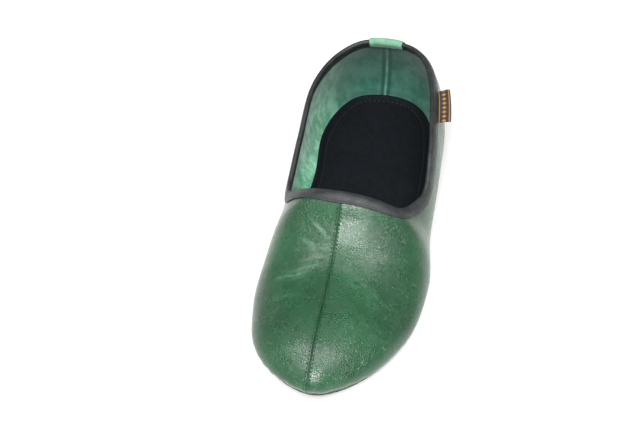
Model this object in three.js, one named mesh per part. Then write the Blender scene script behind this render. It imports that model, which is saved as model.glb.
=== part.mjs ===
import * as THREE from 'three';
import { mergeVertices } from 'three/addons/utils/BufferGeometryUtils.js';

// Babouche slipper: a left shoe of soft leather with a closed heel, in millimetres.
// +Z is up, the toe points to -Y and the outer side of the foot to +X.
// The origin is on the floor, under the middle of the shoe's length.

const { clamp, lerp, smoothstep, degToRad } = THREE.MathUtils;

// Driving sizes of the shoe
const length = 270; // outside, from toe to heel
const ballWidth = 102; // outside, across the ball of the foot
const heelWidth = 91; // outside, across the open rear part
const throatHeight = 64; // peak of the collar at the centre front
const innerDipHeight = 33; // lowest part of the collar, inner side
const outerDipHeight = 41; // lowest part of the collar, outer side
const heelHeight = 61; // collar at the centre back
const toeSpring = 8; // lift of the sole's toe
const archRise = 1.5; // lift of the sole's waist

// Driving sizes of the pieces
const wall = 1.6; // leather of the upper
const skivedWall = 1.1; // the same leather, thinned under the binding
const skiveRun = 3; // length over which it thins
const soleThickness = 2.5;
const soleInset = 0.8; // outsole's edge, inside the edge of the upper
const randHeight = 2.6;
const randWidth = 3;
const randProud = 0.5; // rand's edge, outside the edge of the upper
const bindingDepth = 6; // how far the binding reaches down from the collar's edge
const bindingLeaf = 0.8; // leather of the binding
const bindingEase = 0.75; // between the binding and the upper
const insoleThickness = 4;
const insoleRimRise = 1.8; // padded rim above the foot bed
const insoleRimWidth = 1.6;
const insoleRimSlope = 2.2;
const insoleEase = 0.8; // between the rim and the upper
const tabWidth = 33;
const tabLeaf = 0.8;
const tabInnerDepth = 5;
const tabOuterDepth = 16;
const tabCornerRise = 1.6; // how much shorter the tab is at its corners, outside
const tabInnerRise = 3; // the same, inside
const tabEase = 0.4; // between the tab and the binding
const labelLength = 26.5; // along the collar
const labelReach = 8; // out from the wall
const labelThickness = 1;
const labelDroop = 1.5;
const labelAlong = 0.757; // place of its middle, as a share of the length
const edgeBevel = 0.6; // of the outsole and the rand
const clearance = 0.3; // between pieces that touch

// Edge of the shoe seen from above, as shares of the width there
const toeTip = { along: 0, across: -0.014 };
const heelBack = { along: 1, across: 0.02 };
const planRows = [
  { along: 0.03, inner: 0.235, outer: 0.162 },
  { along: 0.1, inner: 0.391, outer: 0.335 },
  { along: 0.2, inner: 0.459, outer: 0.464 },
  { along: 0.33, inner: 0.469, outer: 0.514 },
  { along: 0.48, inner: 0.446, outer: 0.478 },
  { along: 0.64, inner: 0.468, outer: 0.507 },
  { along: 0.8, inner: 0.493, outer: 0.499 },
  { along: 0.92, inner: 0.385, outer: 0.41 },
  { along: 0.98, inner: 0.234, outer: 0.25 },
];

// Where the shoe is widest above the floor, and how far the sole's edge lies inside that
const bulgeRows = [
  { along: 0, level: 0.09, innerInset: 0.04, outerInset: 0.04 },
  { along: 0.15, level: 0.12, innerInset: 0.038, outerInset: 0.038 },
  { along: 0.3, level: 0.16, innerInset: 0.035, outerInset: 0.035 },
  { along: 0.45, level: 0.152, innerInset: 0.07, outerInset: 0.05 },
  { along: 0.64, level: 0.4, innerInset: 0.105, outerInset: 0.075 },
  { along: 0.8, level: 0.443, innerInset: 0.075, outerInset: 0.06 },
  { along: 1, level: 0.341, innerInset: 0.045, outerInset: 0.045 },
];

// Height of the centre line, as shares of the throat's height. Behind the throat the shoe is open,
// and this is the height that each wall would close at: a low one leans in, a high one stands up.
const throatAlong = 0.4;
const crownRows = [
  { along: 0, inner: 0.525, outer: 0.525 },
  { along: 0.08, inner: 0.556, outer: 0.556 },
  { along: 0.17, inner: 0.561, outer: 0.561 },
  { along: 0.24, inner: 0.581, outer: 0.581 },
  { along: 0.3, inner: 0.654, outer: 0.654 },
  { along: 0.35, inner: 0.808, outer: 0.808 },
  { along: throatAlong, inner: 1, outer: 1 },
  { along: 0.45, inner: 0.983, outer: 0.93 },
  { along: 0.55, inner: 1.665, outer: 1.27 },
  { along: 0.75, inner: 1.634, outer: 1.244 },
  { along: 1, inner: 1.145, outer: 1.145 },
];

// Height of the collar behind the throat, as a mix of the throat's, the dip's and the heel's height
const innerCollarRows = [
  { along: throatAlong, throat: 1, heel: 0 },
  { along: 0.415, throat: 0.84, heel: 0 },
  { along: 0.44, throat: 0.546, heel: 0 },
  { along: 0.475, throat: 0.114, heel: 0 },
  { along: 0.52, throat: 0, heel: 0.02 },
  { along: 0.6, throat: 0, heel: 0.253 },
  { along: 0.7, throat: 0, heel: 0.531 },
  { along: 0.78, throat: 0, heel: 0.663 },
  { along: 0.93, throat: 0, heel: 0.83 },
  { along: 1, throat: 0, heel: 1 },
];
const outerCollarRows = [
  { along: throatAlong, throat: 1, heel: 0 },
  { along: 0.412, throat: 0.56, heel: 0 },
  { along: 0.43, throat: 0.33, heel: 0 },
  { along: 0.457, throat: 0.12, heel: 0 },
  { along: 0.5, throat: 0.02, heel: 0.02 },
  { along: 0.56, throat: 0, heel: 0.34 },
  { along: 0.6, throat: 0, heel: 0.59 },
  { along: 0.7, throat: 0, heel: 0.876 },
  { along: 0.78, throat: 0, heel: 0.97 },
  { along: 0.93, throat: 0, heel: 1.1 },
  { along: 1, throat: 0, heel: 1 },
];

// Line of the centre seam seen from above, as shares of the ball's width
const seamRows = [
  { along: 0.17, across: -0.037 },
  { along: throatAlong, across: -0.042 },
  { along: 0.86, across: -0.01 },
];

// Roundness of the cross-section: 2 is an ellipse, less is more like a roof, more is more like a box
const crownRoundness = 1.75;
const frontSideRoundness = 2;
const rearSideRoundness = 2.35;
const roundnessChange = { from: 0.44, to: 0.62 };
const skirtTurn = degToRad(66); // how far the wall curls in under the bulge

// The sole lies flat on the floor except at the toe and the waist
const springEnd = 0.28;
const springPower = 2;
const waist = { from: 0.54, to: 0.76 };

// Where the shoe's round ends begin, and how finely it is divided, closer together towards the throat
const toePivot = 0.17;
const heelPivot = 0.86;
const toeSteps = 8;
const frontSteps = 9;
const frontSpacingPower = 1.6;
const rearSteps = 18;
const rearSpacingPower = 2.3;
const heelSteps = 10;
const crownSteps = 11;
const skirtSteps = 4;
const bindingSteps = 3;
const tabSteps = 6;
const labelSteps = 5;
const bedSteps = 2;
const planPoints = 360;
const smallStep = 1e-4;
const halvings = 16;

const yAt = (along) => (along - 0.5) * length;
const alongAt = (y) => y / length + 0.5;
const widthAt = (along) => lerp(ballWidth, heelWidth, smoothstep(along, 0.4, 0.8));

// A smooth curve through one column of a table, which never swings past a row's value
function curveThrough(rows, column) {
  const at = rows.map((row) => row.along);
  const value = rows.map((row) => row[column]);
  const last = rows.length - 1;
  const slope = at.slice(1).map((end, i) => (value[i + 1] - value[i]) / (end - at[i]));
  const tangent = value.map((_, i) => {
    if (i === 0) return slope[0];
    if (i === last) return slope[last - 1];
    const turns = slope[i - 1] * slope[i] <= 0;
    return turns ? 0 : 2 / (1 / slope[i - 1] + 1 / slope[i]);
  });
  return (along) => {
    const place = clamp(along, at[0], at[last]);
    const i = Math.min(at.findLastIndex((start) => start <= place), last - 1);
    const span = at[i + 1] - at[i];
    const t = (place - at[i]) / span;
    const rise = value[i + 1] - value[i];
    const start = tangent[i] * span;
    const end = tangent[i + 1] * span;
    return value[i] + t * (start + t * (3 * rise - 2 * start - end + t * (start + end - 2 * rise)));
  };
}

const bulgeLevel = curveThrough(bulgeRows, 'level');
const bothSides = (outer, inner) => ({ 1: outer, [-1]: inner });
const crownShare = bothSides(curveThrough(crownRows, 'outer'), curveThrough(crownRows, 'inner'));
const bulgeInset = bothSides(curveThrough(bulgeRows, 'outerInset'), curveThrough(bulgeRows, 'innerInset'));
const collarMix = (column) =>
  bothSides(curveThrough(outerCollarRows, column), curveThrough(innerCollarRows, column));
const collarThroat = collarMix('throat');
const collarHeel = collarMix('heel');
const seamAcross = curveThrough(seamRows, 'across');

// Lift of the sole above the floor
function liftAt(y) {
  const along = alongAt(y);
  const toe = Math.max(0, 1 - along / springEnd) ** springPower;
  const inWaist = clamp((along - waist.from) / (waist.to - waist.from), 0, 1);
  return toeSpring * toe + archRise * Math.sin(Math.PI * inWaist) ** 2;
}

const insoleBase = soleThickness + clearance;
const featherHeight = soleThickness + randHeight + 2 * clearance;
const bulgeRise = (y) => (throatHeight - featherHeight) * bulgeLevel(alongAt(y));
const bulgeHeight = (y) => liftAt(y) + featherHeight + bulgeRise(y);

// Height that the wall of one side climbs to: +1 is the outer side of the foot, -1 the inner side
const crownHeight = (side, y) => throatHeight * crownShare[side](alongAt(y));

// Height of the collar's edge on one side
function collarHeight(side, y) {
  const along = alongAt(y);
  const dip = side > 0 ? outerDipHeight : innerDipHeight;
  const throat = collarThroat[side](along);
  const heel = collarHeel[side](along);
  return dip + (throatHeight - dip) * throat + (heelHeight - dip) * heel;
}

const planPoint = (along, across) => new THREE.Vector3(across * widthAt(along), yAt(along), 0);

// Edge of the shoe seen from above, as a closed smooth curve
const planCurve = new THREE.CatmullRomCurve3(
  [
    planPoint(toeTip.along, toeTip.across),
    ...planRows.map((row) => planPoint(row.along, row.outer)),
    planPoint(heelBack.along, heelBack.across),
    ...planRows.toReversed().map((row) => planPoint(row.along, -row.inner)),
  ],
  true,
  'centripetal',
);
const plan = planCurve.getPoints(planPoints);

// Distance from a point inside the plan to its edge along a direction
function reachFrom(x, y, dx, dy) {
  let reach = 0;
  for (let i = 1; i < plan.length; i += 1) {
    const start = plan[i - 1];
    const ex = plan[i].x - start.x;
    const ey = plan[i].y - start.y;
    const cross = dx * ey - dy * ex;
    if (cross === 0) continue;
    const wx = start.x - x;
    const wy = start.y - y;
    const part = (wx * dy - wy * dx) / cross;
    if (part >= 0 && part <= 1) reach = Math.max(reach, (wx * ey - wy * ex) / cross);
  }
  return reach;
}

// A rib is a ray in plan from the seam line to the edge. Its turn runs from -1 at the heel's back to 0,
// round the heel, then to 1 along the side, then to 2 at the toe's tip.
const ribs = new Map();
function ribAt(side, turn) {
  const key = `${side} ${turn}`;
  if (ribs.has(key)) return ribs.get(key);
  const along = lerp(heelPivot, toePivot, clamp(turn, 0, 1));
  const bend = turn < 0 ? -turn : Math.max(0, turn - 1);
  const angle = (bend * Math.PI) / 2;
  const dx = side * Math.cos(angle);
  const dy = Math.sin(angle) * (turn < 0 ? 1 : -1);
  const x = seamAcross(along) * ballWidth;
  const y = yAt(along);
  const reach = reachFrom(x, y, dx, dy);
  const edgeY = y + dy * reach;
  const rib = { side, turn, x, y, dx, dy, reach, edgeY };
  rib.inset = bulgeInset[side](alongAt(edgeY)) * ballWidth;
  rib.bulge = bulgeHeight(edgeY);
  ribs.set(key, rib);
  return rib;
}

const onRib = (rib, reach, z) => new THREE.Vector3(rib.x + rib.dx * reach, rib.y + rib.dy * reach, z);

// Ellipse that the wall follows from the bulge down to its lower edge
function skirtOf(rib) {
  const footY = rib.y + rib.dy * (rib.reach - rib.inset);
  const drop = rib.bulge - featherHeight - liftAt(footY);
  return { across: rib.inset / (1 - Math.cos(skirtTurn)), down: drop / Math.sin(skirtTurn) };
}

const throatTurn = (heelPivot - throatAlong) / (heelPivot - toePivot);

// Outer surface of the upper. The climb is -1 at the lower edge, 0 at the bulge and 1 on the centre line.
function skinPoint(side, turn, climb) {
  if (climb > 1) return skinPoint(-side, turn, 2 - climb);
  const rib = ribAt(side, turn);
  if (climb < 0) {
    const skirt = skirtOf(rib);
    const angle = -climb * skirtTurn;
    const under = rib.reach - skirt.across * (1 - Math.cos(angle));
    return onRib(rib, under, rib.bulge - skirt.down * Math.sin(angle));
  }
  const angle = (climb * Math.PI) / 2;
  const rear = smoothstep(alongAt(rib.edgeY), roundnessChange.from, roundnessChange.to);
  const roundness = lerp(frontSideRoundness, rearSideRoundness, rear);
  const reach = rib.reach * Math.max(0, Math.cos(angle)) ** (2 / roundness);
  const crownY = turn > 1 ? rib.y + rib.dy * reach : rib.edgeY;
  const rise = (crownHeight(side, crownY) - rib.bulge) * Math.sin(angle) ** (2 / crownRoundness);
  return onRib(rib, reach, rib.bulge + rise);
}

// How far up a rib the collar's edge lies
function edgeClimb(side, turn) {
  if (turn >= throatTurn) return 1;
  const rib = ribAt(side, turn);
  const full = crownHeight(side, rib.edgeY) - rib.bulge;
  const share = (collarHeight(side, rib.edgeY) - rib.bulge) / full;
  return (Math.asin(clamp(share, 0, 1) ** (crownRoundness / 2)) * 2) / Math.PI;
}

function slopes(side, turn, climb) {
  const step = smallStep;
  const alongRib = skinPoint(side, turn, climb + step).sub(skinPoint(side, turn, climb - step));
  const aroundShoe = skinPoint(side, turn + step, climb).sub(skinPoint(side, turn - step, climb));
  return { alongRib: alongRib.divideScalar(2 * step), aroundShoe: aroundShoe.divideScalar(2 * step) };
}

// Direction that points out of the upper
function normalAt(side, turn, climb) {
  if (climb === 1) {
    const y = ribAt(side, turn).y;
    const rise = crownHeight(side, y + smallStep) - crownHeight(side, y - smallStep);
    return new THREE.Vector3(0, -rise, 2 * smallStep).normalize();
  }
  const { alongRib, aroundShoe } = slopes(side, turn, climb);
  return alongRib.cross(aroundShoe).multiplyScalar(side).normalize();
}

// Ribs that the pieces are built on, from the heel's back to the toe's tip
const steps = (count, makeStep) => Array.from({ length: count }, (_, i) => makeStep(i / count));
const heelTurns = steps(heelSteps, (share) => share - 1);
const rearTurns = steps(rearSteps, (share) => throatTurn * (1 - (1 - share) ** rearSpacingPower));
const frontTurns = steps(frontSteps, (share) => lerp(throatTurn, 1, share ** frontSpacingPower));
const toeTurns = [...steps(toeSteps, (share) => 1 + share), 2];
const collarTurns = [...heelTurns, ...rearTurns, throatTurn];
const allTurns = [...heelTurns, ...rearTurns, ...frontTurns, ...toeTurns];

// Joins the cross-sections of both sides into one closed body. A section is a list of points;
// it is closed into a ring where both of its ribs say so. The first and last sections lie on the
// centre line, so both sides share them.
function bodyFrom(makeSection, turns, isRing = () => true) {
  const positions = [];
  const faces = [];
  const ends = [turns[0], turns.at(-1)];
  for (const side of [1, -1]) {
    const sections = turns.map((turn) => makeSection(ends.includes(turn) ? 1 : side, turn));
    const size = sections[0].length;
    const first = positions.length / 3;
    sections.flat().forEach((point) => positions.push(point.x, point.y, point.z));
    for (let i = 0; i + 1 < sections.length; i += 1) {
      const ring = isRing(turns[i]) && isRing(turns[i + 1]);
      for (let j = 0; j < (ring ? size : size - 1); j += 1) {
        const a = first + i * size + j;
        const b = first + i * size + ((j + 1) % size);
        const corners = side > 0 ? [b, a, b + size, a + size] : [a, b, a + size, b + size];
        faces.push([corners[0], corners[1], corners[3]], [corners[0], corners[3], corners[2]]);
      }
    }
  }
  return closedGeometry(positions, faces);
}

// Shares the points that meet and drops the triangles that close up to a line
function closedGeometry(positions, faces) {
  const loose = new THREE.BufferGeometry();
  loose.setAttribute('position', new THREE.Float32BufferAttribute(positions, 3));
  loose.setIndex(faces.flat());
  const merged = mergeVertices(loose, clearance / 100);
  const index = Array.from(merged.getIndex().array);
  const kept = [];
  for (let i = 0; i < index.length; i += 3) {
    const [a, b, c] = index.slice(i, i + 3);
    if (a !== b && b !== c && c !== a) kept.push(a, b, c);
  }
  merged.setIndex(kept);
  merged.computeVertexNormals();
  return merged;
}

// Points of the collar's edge, which tell how near a point of the wall is to the binding
const edgePoint = (side, turn) => skinPoint(side, turn, edgeClimb(side, turn));
const edgePoints = [1, -1].flatMap((side) => collarTurns.map((turn) => edgePoint(side, turn)));

function wallAt(point) {
  const distance = Math.min(...edgePoints.map((edge) => edge.distanceTo(point)));
  return lerp(skivedWall, wall, smoothstep(distance, bindingDepth, bindingDepth + skiveRun));
}

// Upper: down the outer surface to its lower edge, then up the inner surface
function upperSection(side, turn) {
  const top = edgeClimb(side, turn);
  const climbs = [
    ...Array.from({ length: crownSteps }, (_, i) => top * (1 - i / crownSteps)),
    ...Array.from({ length: skirtSteps + 1 }, (_, i) => -i / skirtSteps),
  ];
  const outer = climbs.map((climb) => skinPoint(side, turn, climb));
  const inner = climbs.map((climb, i) => {
    const inward = normalAt(side, turn, climb).multiplyScalar(-wallAt(outer[i]));
    return outer[i].clone().add(inward);
  });
  return [...outer, ...inner.toReversed()];
}

// Follows the surface from the collar's edge straight down into the upper, and gives the surface
// point and the outward direction at each depth
function downFromEdge(side, turn, depths) {
  let climb = edgeClimb(side, turn);
  let place = turn;
  const edgeAt = (near) => skinPoint(side, near, edgeClimb(side, near));
  const alongEdge = turn === throatTurn
    ? new THREE.Vector3(side, 0, 0)
    : edgeAt(turn - smallStep).sub(edgeAt(turn + smallStep)).normalize();
  const down = alongEdge.cross(normalAt(side, turn, climb)).multiplyScalar(side);
  let depth = 0;
  return depths.map((next) => {
    const normal = normalAt(side, place, climb);
    const { alongRib, aroundShoe } = slopes(side, place, climb);
    const flat = down.clone().addScaledVector(normal, -down.dot(normal)).normalize();
    const uu = aroundShoe.dot(aroundShoe);
    const uv = aroundShoe.dot(alongRib);
    const vv = alongRib.dot(alongRib);
    const u = aroundShoe.dot(flat);
    const v = alongRib.dot(flat);
    const step = (next - depth) / (uu * vv - uv * uv);
    place += (u * vv - v * uv) * step;
    climb += (v * uu - u * uv) * step;
    depth = next;
    return { point: skinPoint(side, place, climb), normal: normalAt(side, place, climb), down: flat };
  });
}

// Points at a height off the outer surface, and the same off the inner surface
const offOuter = (foot, height) => foot.point.clone().addScaledVector(foot.normal, height);
const offInner = (foot, height) =>
  foot.point.clone().addScaledVector(foot.normal, -wallAt(foot.point) - height);

// A strip folded over the collar's edge, with its two faces at these heights off the wall
function foldedSection(feet, near, far, outerFeet = feet) {
  const edge = feet[0];
  const over = (base, height) => base.addScaledVector(edge.down, -height);
  const corner = near + (far - near) * Math.SQRT1_2;
  return [
    ...outerFeet.toReversed().map((foot) => offOuter(foot, far)),
    over(offOuter(edge, corner), corner),
    over(offOuter(edge, 0), far),
    over(offInner(edge, 0), far),
    over(offInner(edge, corner), corner),
    ...feet.map((foot) => offInner(foot, far)),
    ...feet.toReversed().map((foot) => offInner(foot, near)),
    over(offInner(edge, near), near),
    over(offInner(edge, 0), near),
    over(offOuter(edge, 0), near),
    over(offOuter(edge, near), near),
    ...outerFeet.map((foot) => offOuter(foot, near)),
  ];
}

const bindingDepths = Array.from({ length: bindingSteps + 1 }, (_, i) => (bindingDepth * i) / bindingSteps);

function bindingSection(side, turn) {
  const feet = downFromEdge(side, turn, bindingDepths);
  return foldedSection(feet, bindingEase, bindingEase + bindingLeaf).toReversed();
}

// Heel tab: a short strip over the binding, which lies on the upper again below it
const tabHalfTurn = tabWidth / 2 / (ribAt(1, -1).reach * (Math.PI / 2));
const tabTurns = Array.from({ length: tabSteps + 1 }, (_, i) => -1 + (tabHalfTurn * i) / tabSteps);

function tabSection(side, turn) {
  const toCorner = ((turn + 1) / tabHalfTurn) ** 2;
  const insideEnd = tabInnerDepth - tabInnerRise * toCorner;
  const insideDepths = [0, insideEnd / 3, (insideEnd * 2) / 3, insideEnd];
  const belowBinding = bindingDepth + 2 * tabEase;
  const outsideDepths = [0, bindingDepth / 2, belowBinding, belowBinding + tabLeaf];
  const outsideEnd = tabOuterDepth - tabCornerRise * toCorner;
  const feet = downFromEdge(side, turn, insideDepths);
  const beforeEnd = (outsideDepths[3] + outsideEnd) / 2;
  const outerFeet = downFromEdge(side, turn, [...outsideDepths, beforeEnd, outsideEnd]);
  const near = bindingEase + bindingLeaf + tabEase;
  const far = near + tabLeaf;
  const section = foldedSection(feet, near, far, outerFeet);
  const count = outerFeet.length;
  for (const i of [3, 4, 5]) {
    section[count - 1 - i].copy(offOuter(outerFeet[i], clearance + tabLeaf));
    section[section.length - count + i].copy(offOuter(outerFeet[i], clearance));
  }
  return section;
}

function tabGeometry() {
  const left = tabTurns.toReversed().map((turn) => tabSection(-1, turn));
  const right = tabTurns.slice(1).map((turn) => tabSection(1, turn));
  return bandFrom([...left, ...right]);
}

// Joins a row of sections into a strip with two flat ends
function bandFrom(sections) {
  const size = sections[0].length;
  const last = (sections.length - 1) * size;
  const faces = [...bandEnd(0, size), ...bandEnd(last, size).map((face) => face.toReversed())];
  for (let i = 0; i + 1 < sections.length; i += 1) {
    for (let j = 0; j < size; j += 1) {
      const a = i * size + j;
      const b = i * size + ((j + 1) % size);
      faces.push([a, b, b + size], [a, b + size, a + size]);
    }
  }
  return closedGeometry(sections.flat().flatMap((point) => [point.x, point.y, point.z]), faces);
}

// Flat end of a strip: the points of its two faces are joined in pairs, from one tip to the other
function bandEnd(first, size) {
  return Array.from({ length: size / 2 - 1 }, (_, i) => {
    const near = first + i;
    const far = first + size - 1 - i;
    return [[near, far - 1, near + 1], [near, far, far - 1]];
  }).flat();
}

// Side label: a small flag that stands out of the wall under the outer side's binding
function labelGeometry() {
  const middle = (heelPivot - labelAlong) / (heelPivot - toePivot);
  const perTurn = slopes(1, middle + smallStep, edgeClimb(1, middle)).aroundShoe.length();
  const halfTurn = labelLength / 2 / perTurn;
  const rootDepth = bindingDepth + 2 * clearance + labelThickness;
  const sections = Array.from({ length: labelSteps + 1 }, (_, i) => {
    const turn = middle + halfTurn * ((2 * i) / labelSteps - 1);
    const foot = downFromEdge(1, turn, [0, rootDepth / 2, rootDepth])[2];
    const root = offOuter(foot, clearance);
    const tip = offOuter(foot, clearance + labelReach).addScaledVector(foot.down, labelDroop);
    const thick = foot.down.clone().multiplyScalar(-labelThickness);
    return [root, tip, tip.clone().add(thick), root.clone().add(thick)];
  });
  return bandFrom(sections);
}

// Plan distance from the seam line to the upper's lower edge
const footReach = (rib) => rib.reach - rib.inset;

// Point on a rib at a height above the lifted floor
function raised(rib, reach, height) {
  return onRib(rib, reach, height + liftAt(rib.y + rib.dy * reach));
}

// Outsole: from the middle of its top out over its edge and back to the middle of its bottom
function outsoleSection(side, turn) {
  const rib = ribAt(side, turn);
  const reach = footReach(rib) - soleInset;
  const shares = Array.from({ length: bedSteps }, (_, i) => i / bedSteps);
  return [
    ...shares.map((share) => raised(rib, reach * share, soleThickness)),
    raised(rib, reach, soleThickness),
    raised(rib, reach, edgeBevel),
    raised(rib, reach - edgeBevel, 0),
    ...shares.toReversed().map((share) => raised(rib, reach * share, 0)),
  ];
}

// Rand: a thin rim between the outsole and the upper
function randSection(side, turn) {
  const rib = ribAt(side, turn);
  const outside = footReach(rib) + randProud;
  const inside = outside - randWidth;
  const low = soleThickness + clearance;
  const high = low + randHeight;
  return [
    raised(rib, inside, high),
    raised(rib, outside - edgeBevel, high),
    raised(rib, outside, low + randHeight / 2),
    raised(rib, outside - edgeBevel, low),
    raised(rib, inside, low),
  ];
}

// Plan distance from the seam line to the upper's inner surface, at a height above the lifted floor
function innerReach(rib, height) {
  const innerPoint = (climb) => {
    const inward = normalAt(rib.side, rib.turn, climb).multiplyScalar(-wall);
    return skinPoint(rib.side, rib.turn, climb).add(inward);
  };
  let low = -1;
  let high = 0;
  for (let i = 0; i < halvings; i += 1) {
    const middle = (low + high) / 2;
    const point = innerPoint(middle);
    if (point.z - liftAt(point.y) < height) low = middle;
    else high = middle;
  }
  const point = innerPoint(low);
  return (point.x - rib.x) * rib.dx + (point.y - rib.y) * rib.dy;
}

// Insole: a foot bed inside the rand, with a soft rim that fills out to the wall of the upper
function insoleSection(side, turn) {
  const rib = ribAt(side, turn);
  const bed = insoleBase + insoleThickness;
  const rimTop = bed + insoleRimRise;
  const foot = footReach(rib) + randProud - randWidth - clearance;
  const rim = innerReach(rib, rimTop) - insoleEase;
  const bedEdge = rim - insoleRimWidth - insoleRimSlope;
  const shares = Array.from({ length: bedSteps }, (_, i) => i / bedSteps);
  return [
    ...shares.map((share) => raised(rib, bedEdge * share, bed)),
    raised(rib, bedEdge, bed),
    raised(rib, rim - insoleRimWidth, rimTop),
    raised(rib, rim, rimTop),
    raised(rib, foot, featherHeight + wall),
    raised(rib, foot, insoleBase),
    ...shares.toReversed().map((share) => raised(rib, foot * share, insoleBase)),
  ];
}

const isOpenRib = (turn) => turn <= throatTurn;
const isNeverRing = () => false;

const glossy = 0.38;
const satin = 0.7;
const matt = 0.9;
const upperBody = bodyFrom(upperSection, allTurns, isOpenRib);
const bindingBody = bodyFrom(bindingSection, collarTurns);
const insoleBody = bodyFrom(insoleSection, allTurns, isNeverRing);
const randBody = bodyFrom(randSection, allTurns);
const outsoleBody = bodyFrom(outsoleSection, allTurns, isNeverRing);
const pieces = [
  { name: 'upper', color: '#12492c', roughness: glossy, geometry: upperBody },
  { name: 'collar_binding', color: '#17191b', roughness: glossy, geometry: bindingBody },
  { name: 'heel_tab', color: '#3f7d61', roughness: matt, geometry: tabGeometry() },
  { name: 'side_label', color: '#1b1a1a', roughness: matt, geometry: labelGeometry() },
  { name: 'insole', color: '#0b0e17', roughness: matt, geometry: insoleBody },
  { name: 'rand', color: '#17543a', roughness: glossy, geometry: randBody },
  { name: 'outsole', color: '#1c1512', roughness: satin, geometry: outsoleBody },
];

const group = new THREE.Group();
for (const { name, color, roughness, geometry } of pieces) {
  const mesh = new THREE.Mesh(geometry, new THREE.MeshStandardMaterial({ color, roughness, metalness: 0 }));
  mesh.name = name;
  group.add(mesh);
}

export default group;
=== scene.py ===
"""Looks of a babouche slipper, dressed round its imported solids.

The slipper is a left shoe: +Z is up, the toe points to -Y and the outer side of the foot to +X.
Sizes are in millimetres until a mesh is made, and meshes are in metres. Shares are parts of a
named size: `along` runs from 0 at the toe to 1 at the heel, `across` is a part of the ball's width.
"""

from __future__ import annotations

import logging
import math
from dataclasses import dataclass
from enum import Enum
from typing import Any, Sequence

import bmesh
import bpy
import numpy as np
from mathutils import Matrix, Vector
from mathutils.kdtree import KDTree

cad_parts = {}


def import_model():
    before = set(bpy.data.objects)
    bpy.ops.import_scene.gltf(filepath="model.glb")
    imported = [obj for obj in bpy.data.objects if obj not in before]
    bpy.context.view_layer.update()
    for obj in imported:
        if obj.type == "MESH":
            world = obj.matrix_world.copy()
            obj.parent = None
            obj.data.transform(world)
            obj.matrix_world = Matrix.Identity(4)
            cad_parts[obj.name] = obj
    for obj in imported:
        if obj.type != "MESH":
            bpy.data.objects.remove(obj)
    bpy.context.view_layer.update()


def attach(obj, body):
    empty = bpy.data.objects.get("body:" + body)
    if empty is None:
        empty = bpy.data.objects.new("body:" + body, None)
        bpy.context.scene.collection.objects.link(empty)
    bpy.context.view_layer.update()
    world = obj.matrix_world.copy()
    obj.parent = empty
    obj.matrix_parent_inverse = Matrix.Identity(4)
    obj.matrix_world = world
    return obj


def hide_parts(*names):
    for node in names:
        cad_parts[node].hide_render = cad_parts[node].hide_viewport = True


MM = 0.001
MERGE_DISTANCE = 0.002  # millimetres
BODY = "root"
LOG = logging.getLogger("slipper")


class Slot(Enum):
    """Names of material slots."""

    UPPER = "upper_leather"
    BINDING = "binding_leather"
    TAB = "tab_suede"
    LABEL = "label_fabric"
    INSOLE = "insole_suede"
    RAND = "rand_leather"
    SOLE = "sole_leather"


Array = np.ndarray


# Sizes and tables of the shoe


@dataclass(frozen=True)
class ShoeSizes:
    """Driving sizes of the shoe's form, in millimetres."""

    length: float = 270.0
    ball_width: float = 102.0
    heel_width: float = 91.0
    throat_height: float = 64.0
    inner_dip_height: float = 33.0
    outer_dip_height: float = 41.0
    heel_height: float = 61.0
    toe_spring: float = 8.0
    arch_rise: float = 1.5
    wall: float = 1.6
    skived_wall: float = 1.1
    skive_run: float = 3.0
    sole_thickness: float = 2.5
    sole_inset: float = 0.8
    rand_height: float = 2.6
    rand_width: float = 3.0
    rand_proud: float = 0.5
    binding_depth: float = 6.0
    insole_thickness: float = 4.0
    insole_rim_rise: float = 1.8
    insole_rim_width: float = 1.6
    insole_rim_slope: float = 2.2
    insole_ease: float = 0.8
    clearance: float = 0.3

    @property
    def insole_base(self) -> float:
        """Underside of the insole above the lifted floor."""
        return self.sole_thickness + self.clearance

    @property
    def feather_height(self) -> float:
        """Lower edge of the upper above the lifted floor."""
        return self.sole_thickness + self.rand_height + 2 * self.clearance


Table = dict[str, tuple[float, ...]]

# Edge of the shoe seen from above, as shares of the width there
PLAN: Table = {
    "along": (0.03, 0.1, 0.2, 0.33, 0.48, 0.64, 0.8, 0.92, 0.98),
    "inner": (0.235, 0.391, 0.459, 0.469, 0.446, 0.468, 0.493, 0.385, 0.234),
    "outer": (0.162, 0.335, 0.464, 0.514, 0.478, 0.507, 0.499, 0.41, 0.25),
}
TOE_TIP_ACROSS = -0.014
HEEL_BACK_ACROSS = 0.02

# Where the shoe is widest above the floor, and how far the sole's edge lies inside that
BULGE: Table = {
    "along": (0.0, 0.15, 0.3, 0.45, 0.64, 0.8, 1.0),
    "level": (0.09, 0.12, 0.16, 0.152, 0.4, 0.443, 0.341),
    "inner": (0.04, 0.038, 0.035, 0.07, 0.105, 0.075, 0.045),
    "outer": (0.04, 0.038, 0.035, 0.05, 0.075, 0.06, 0.045),
}

# Height of the centre line, as shares of the throat's height. Behind the throat the shoe is open,
# and this is the height that each wall would close at: a low one leans in, a high one stands up.
THROAT_ALONG = 0.4
CROWN: Table = {
    "along": (0.0, 0.08, 0.17, 0.24, 0.3, 0.35, 0.4, 0.45, 0.55, 0.75, 1.0),
    "inner": (0.525, 0.556, 0.561, 0.581, 0.654, 0.808, 1.0, 0.983, 1.665, 1.634, 1.145),
    "outer": (0.525, 0.556, 0.561, 0.581, 0.654, 0.808, 1.0, 0.93, 1.27, 1.244, 1.145),
}

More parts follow.
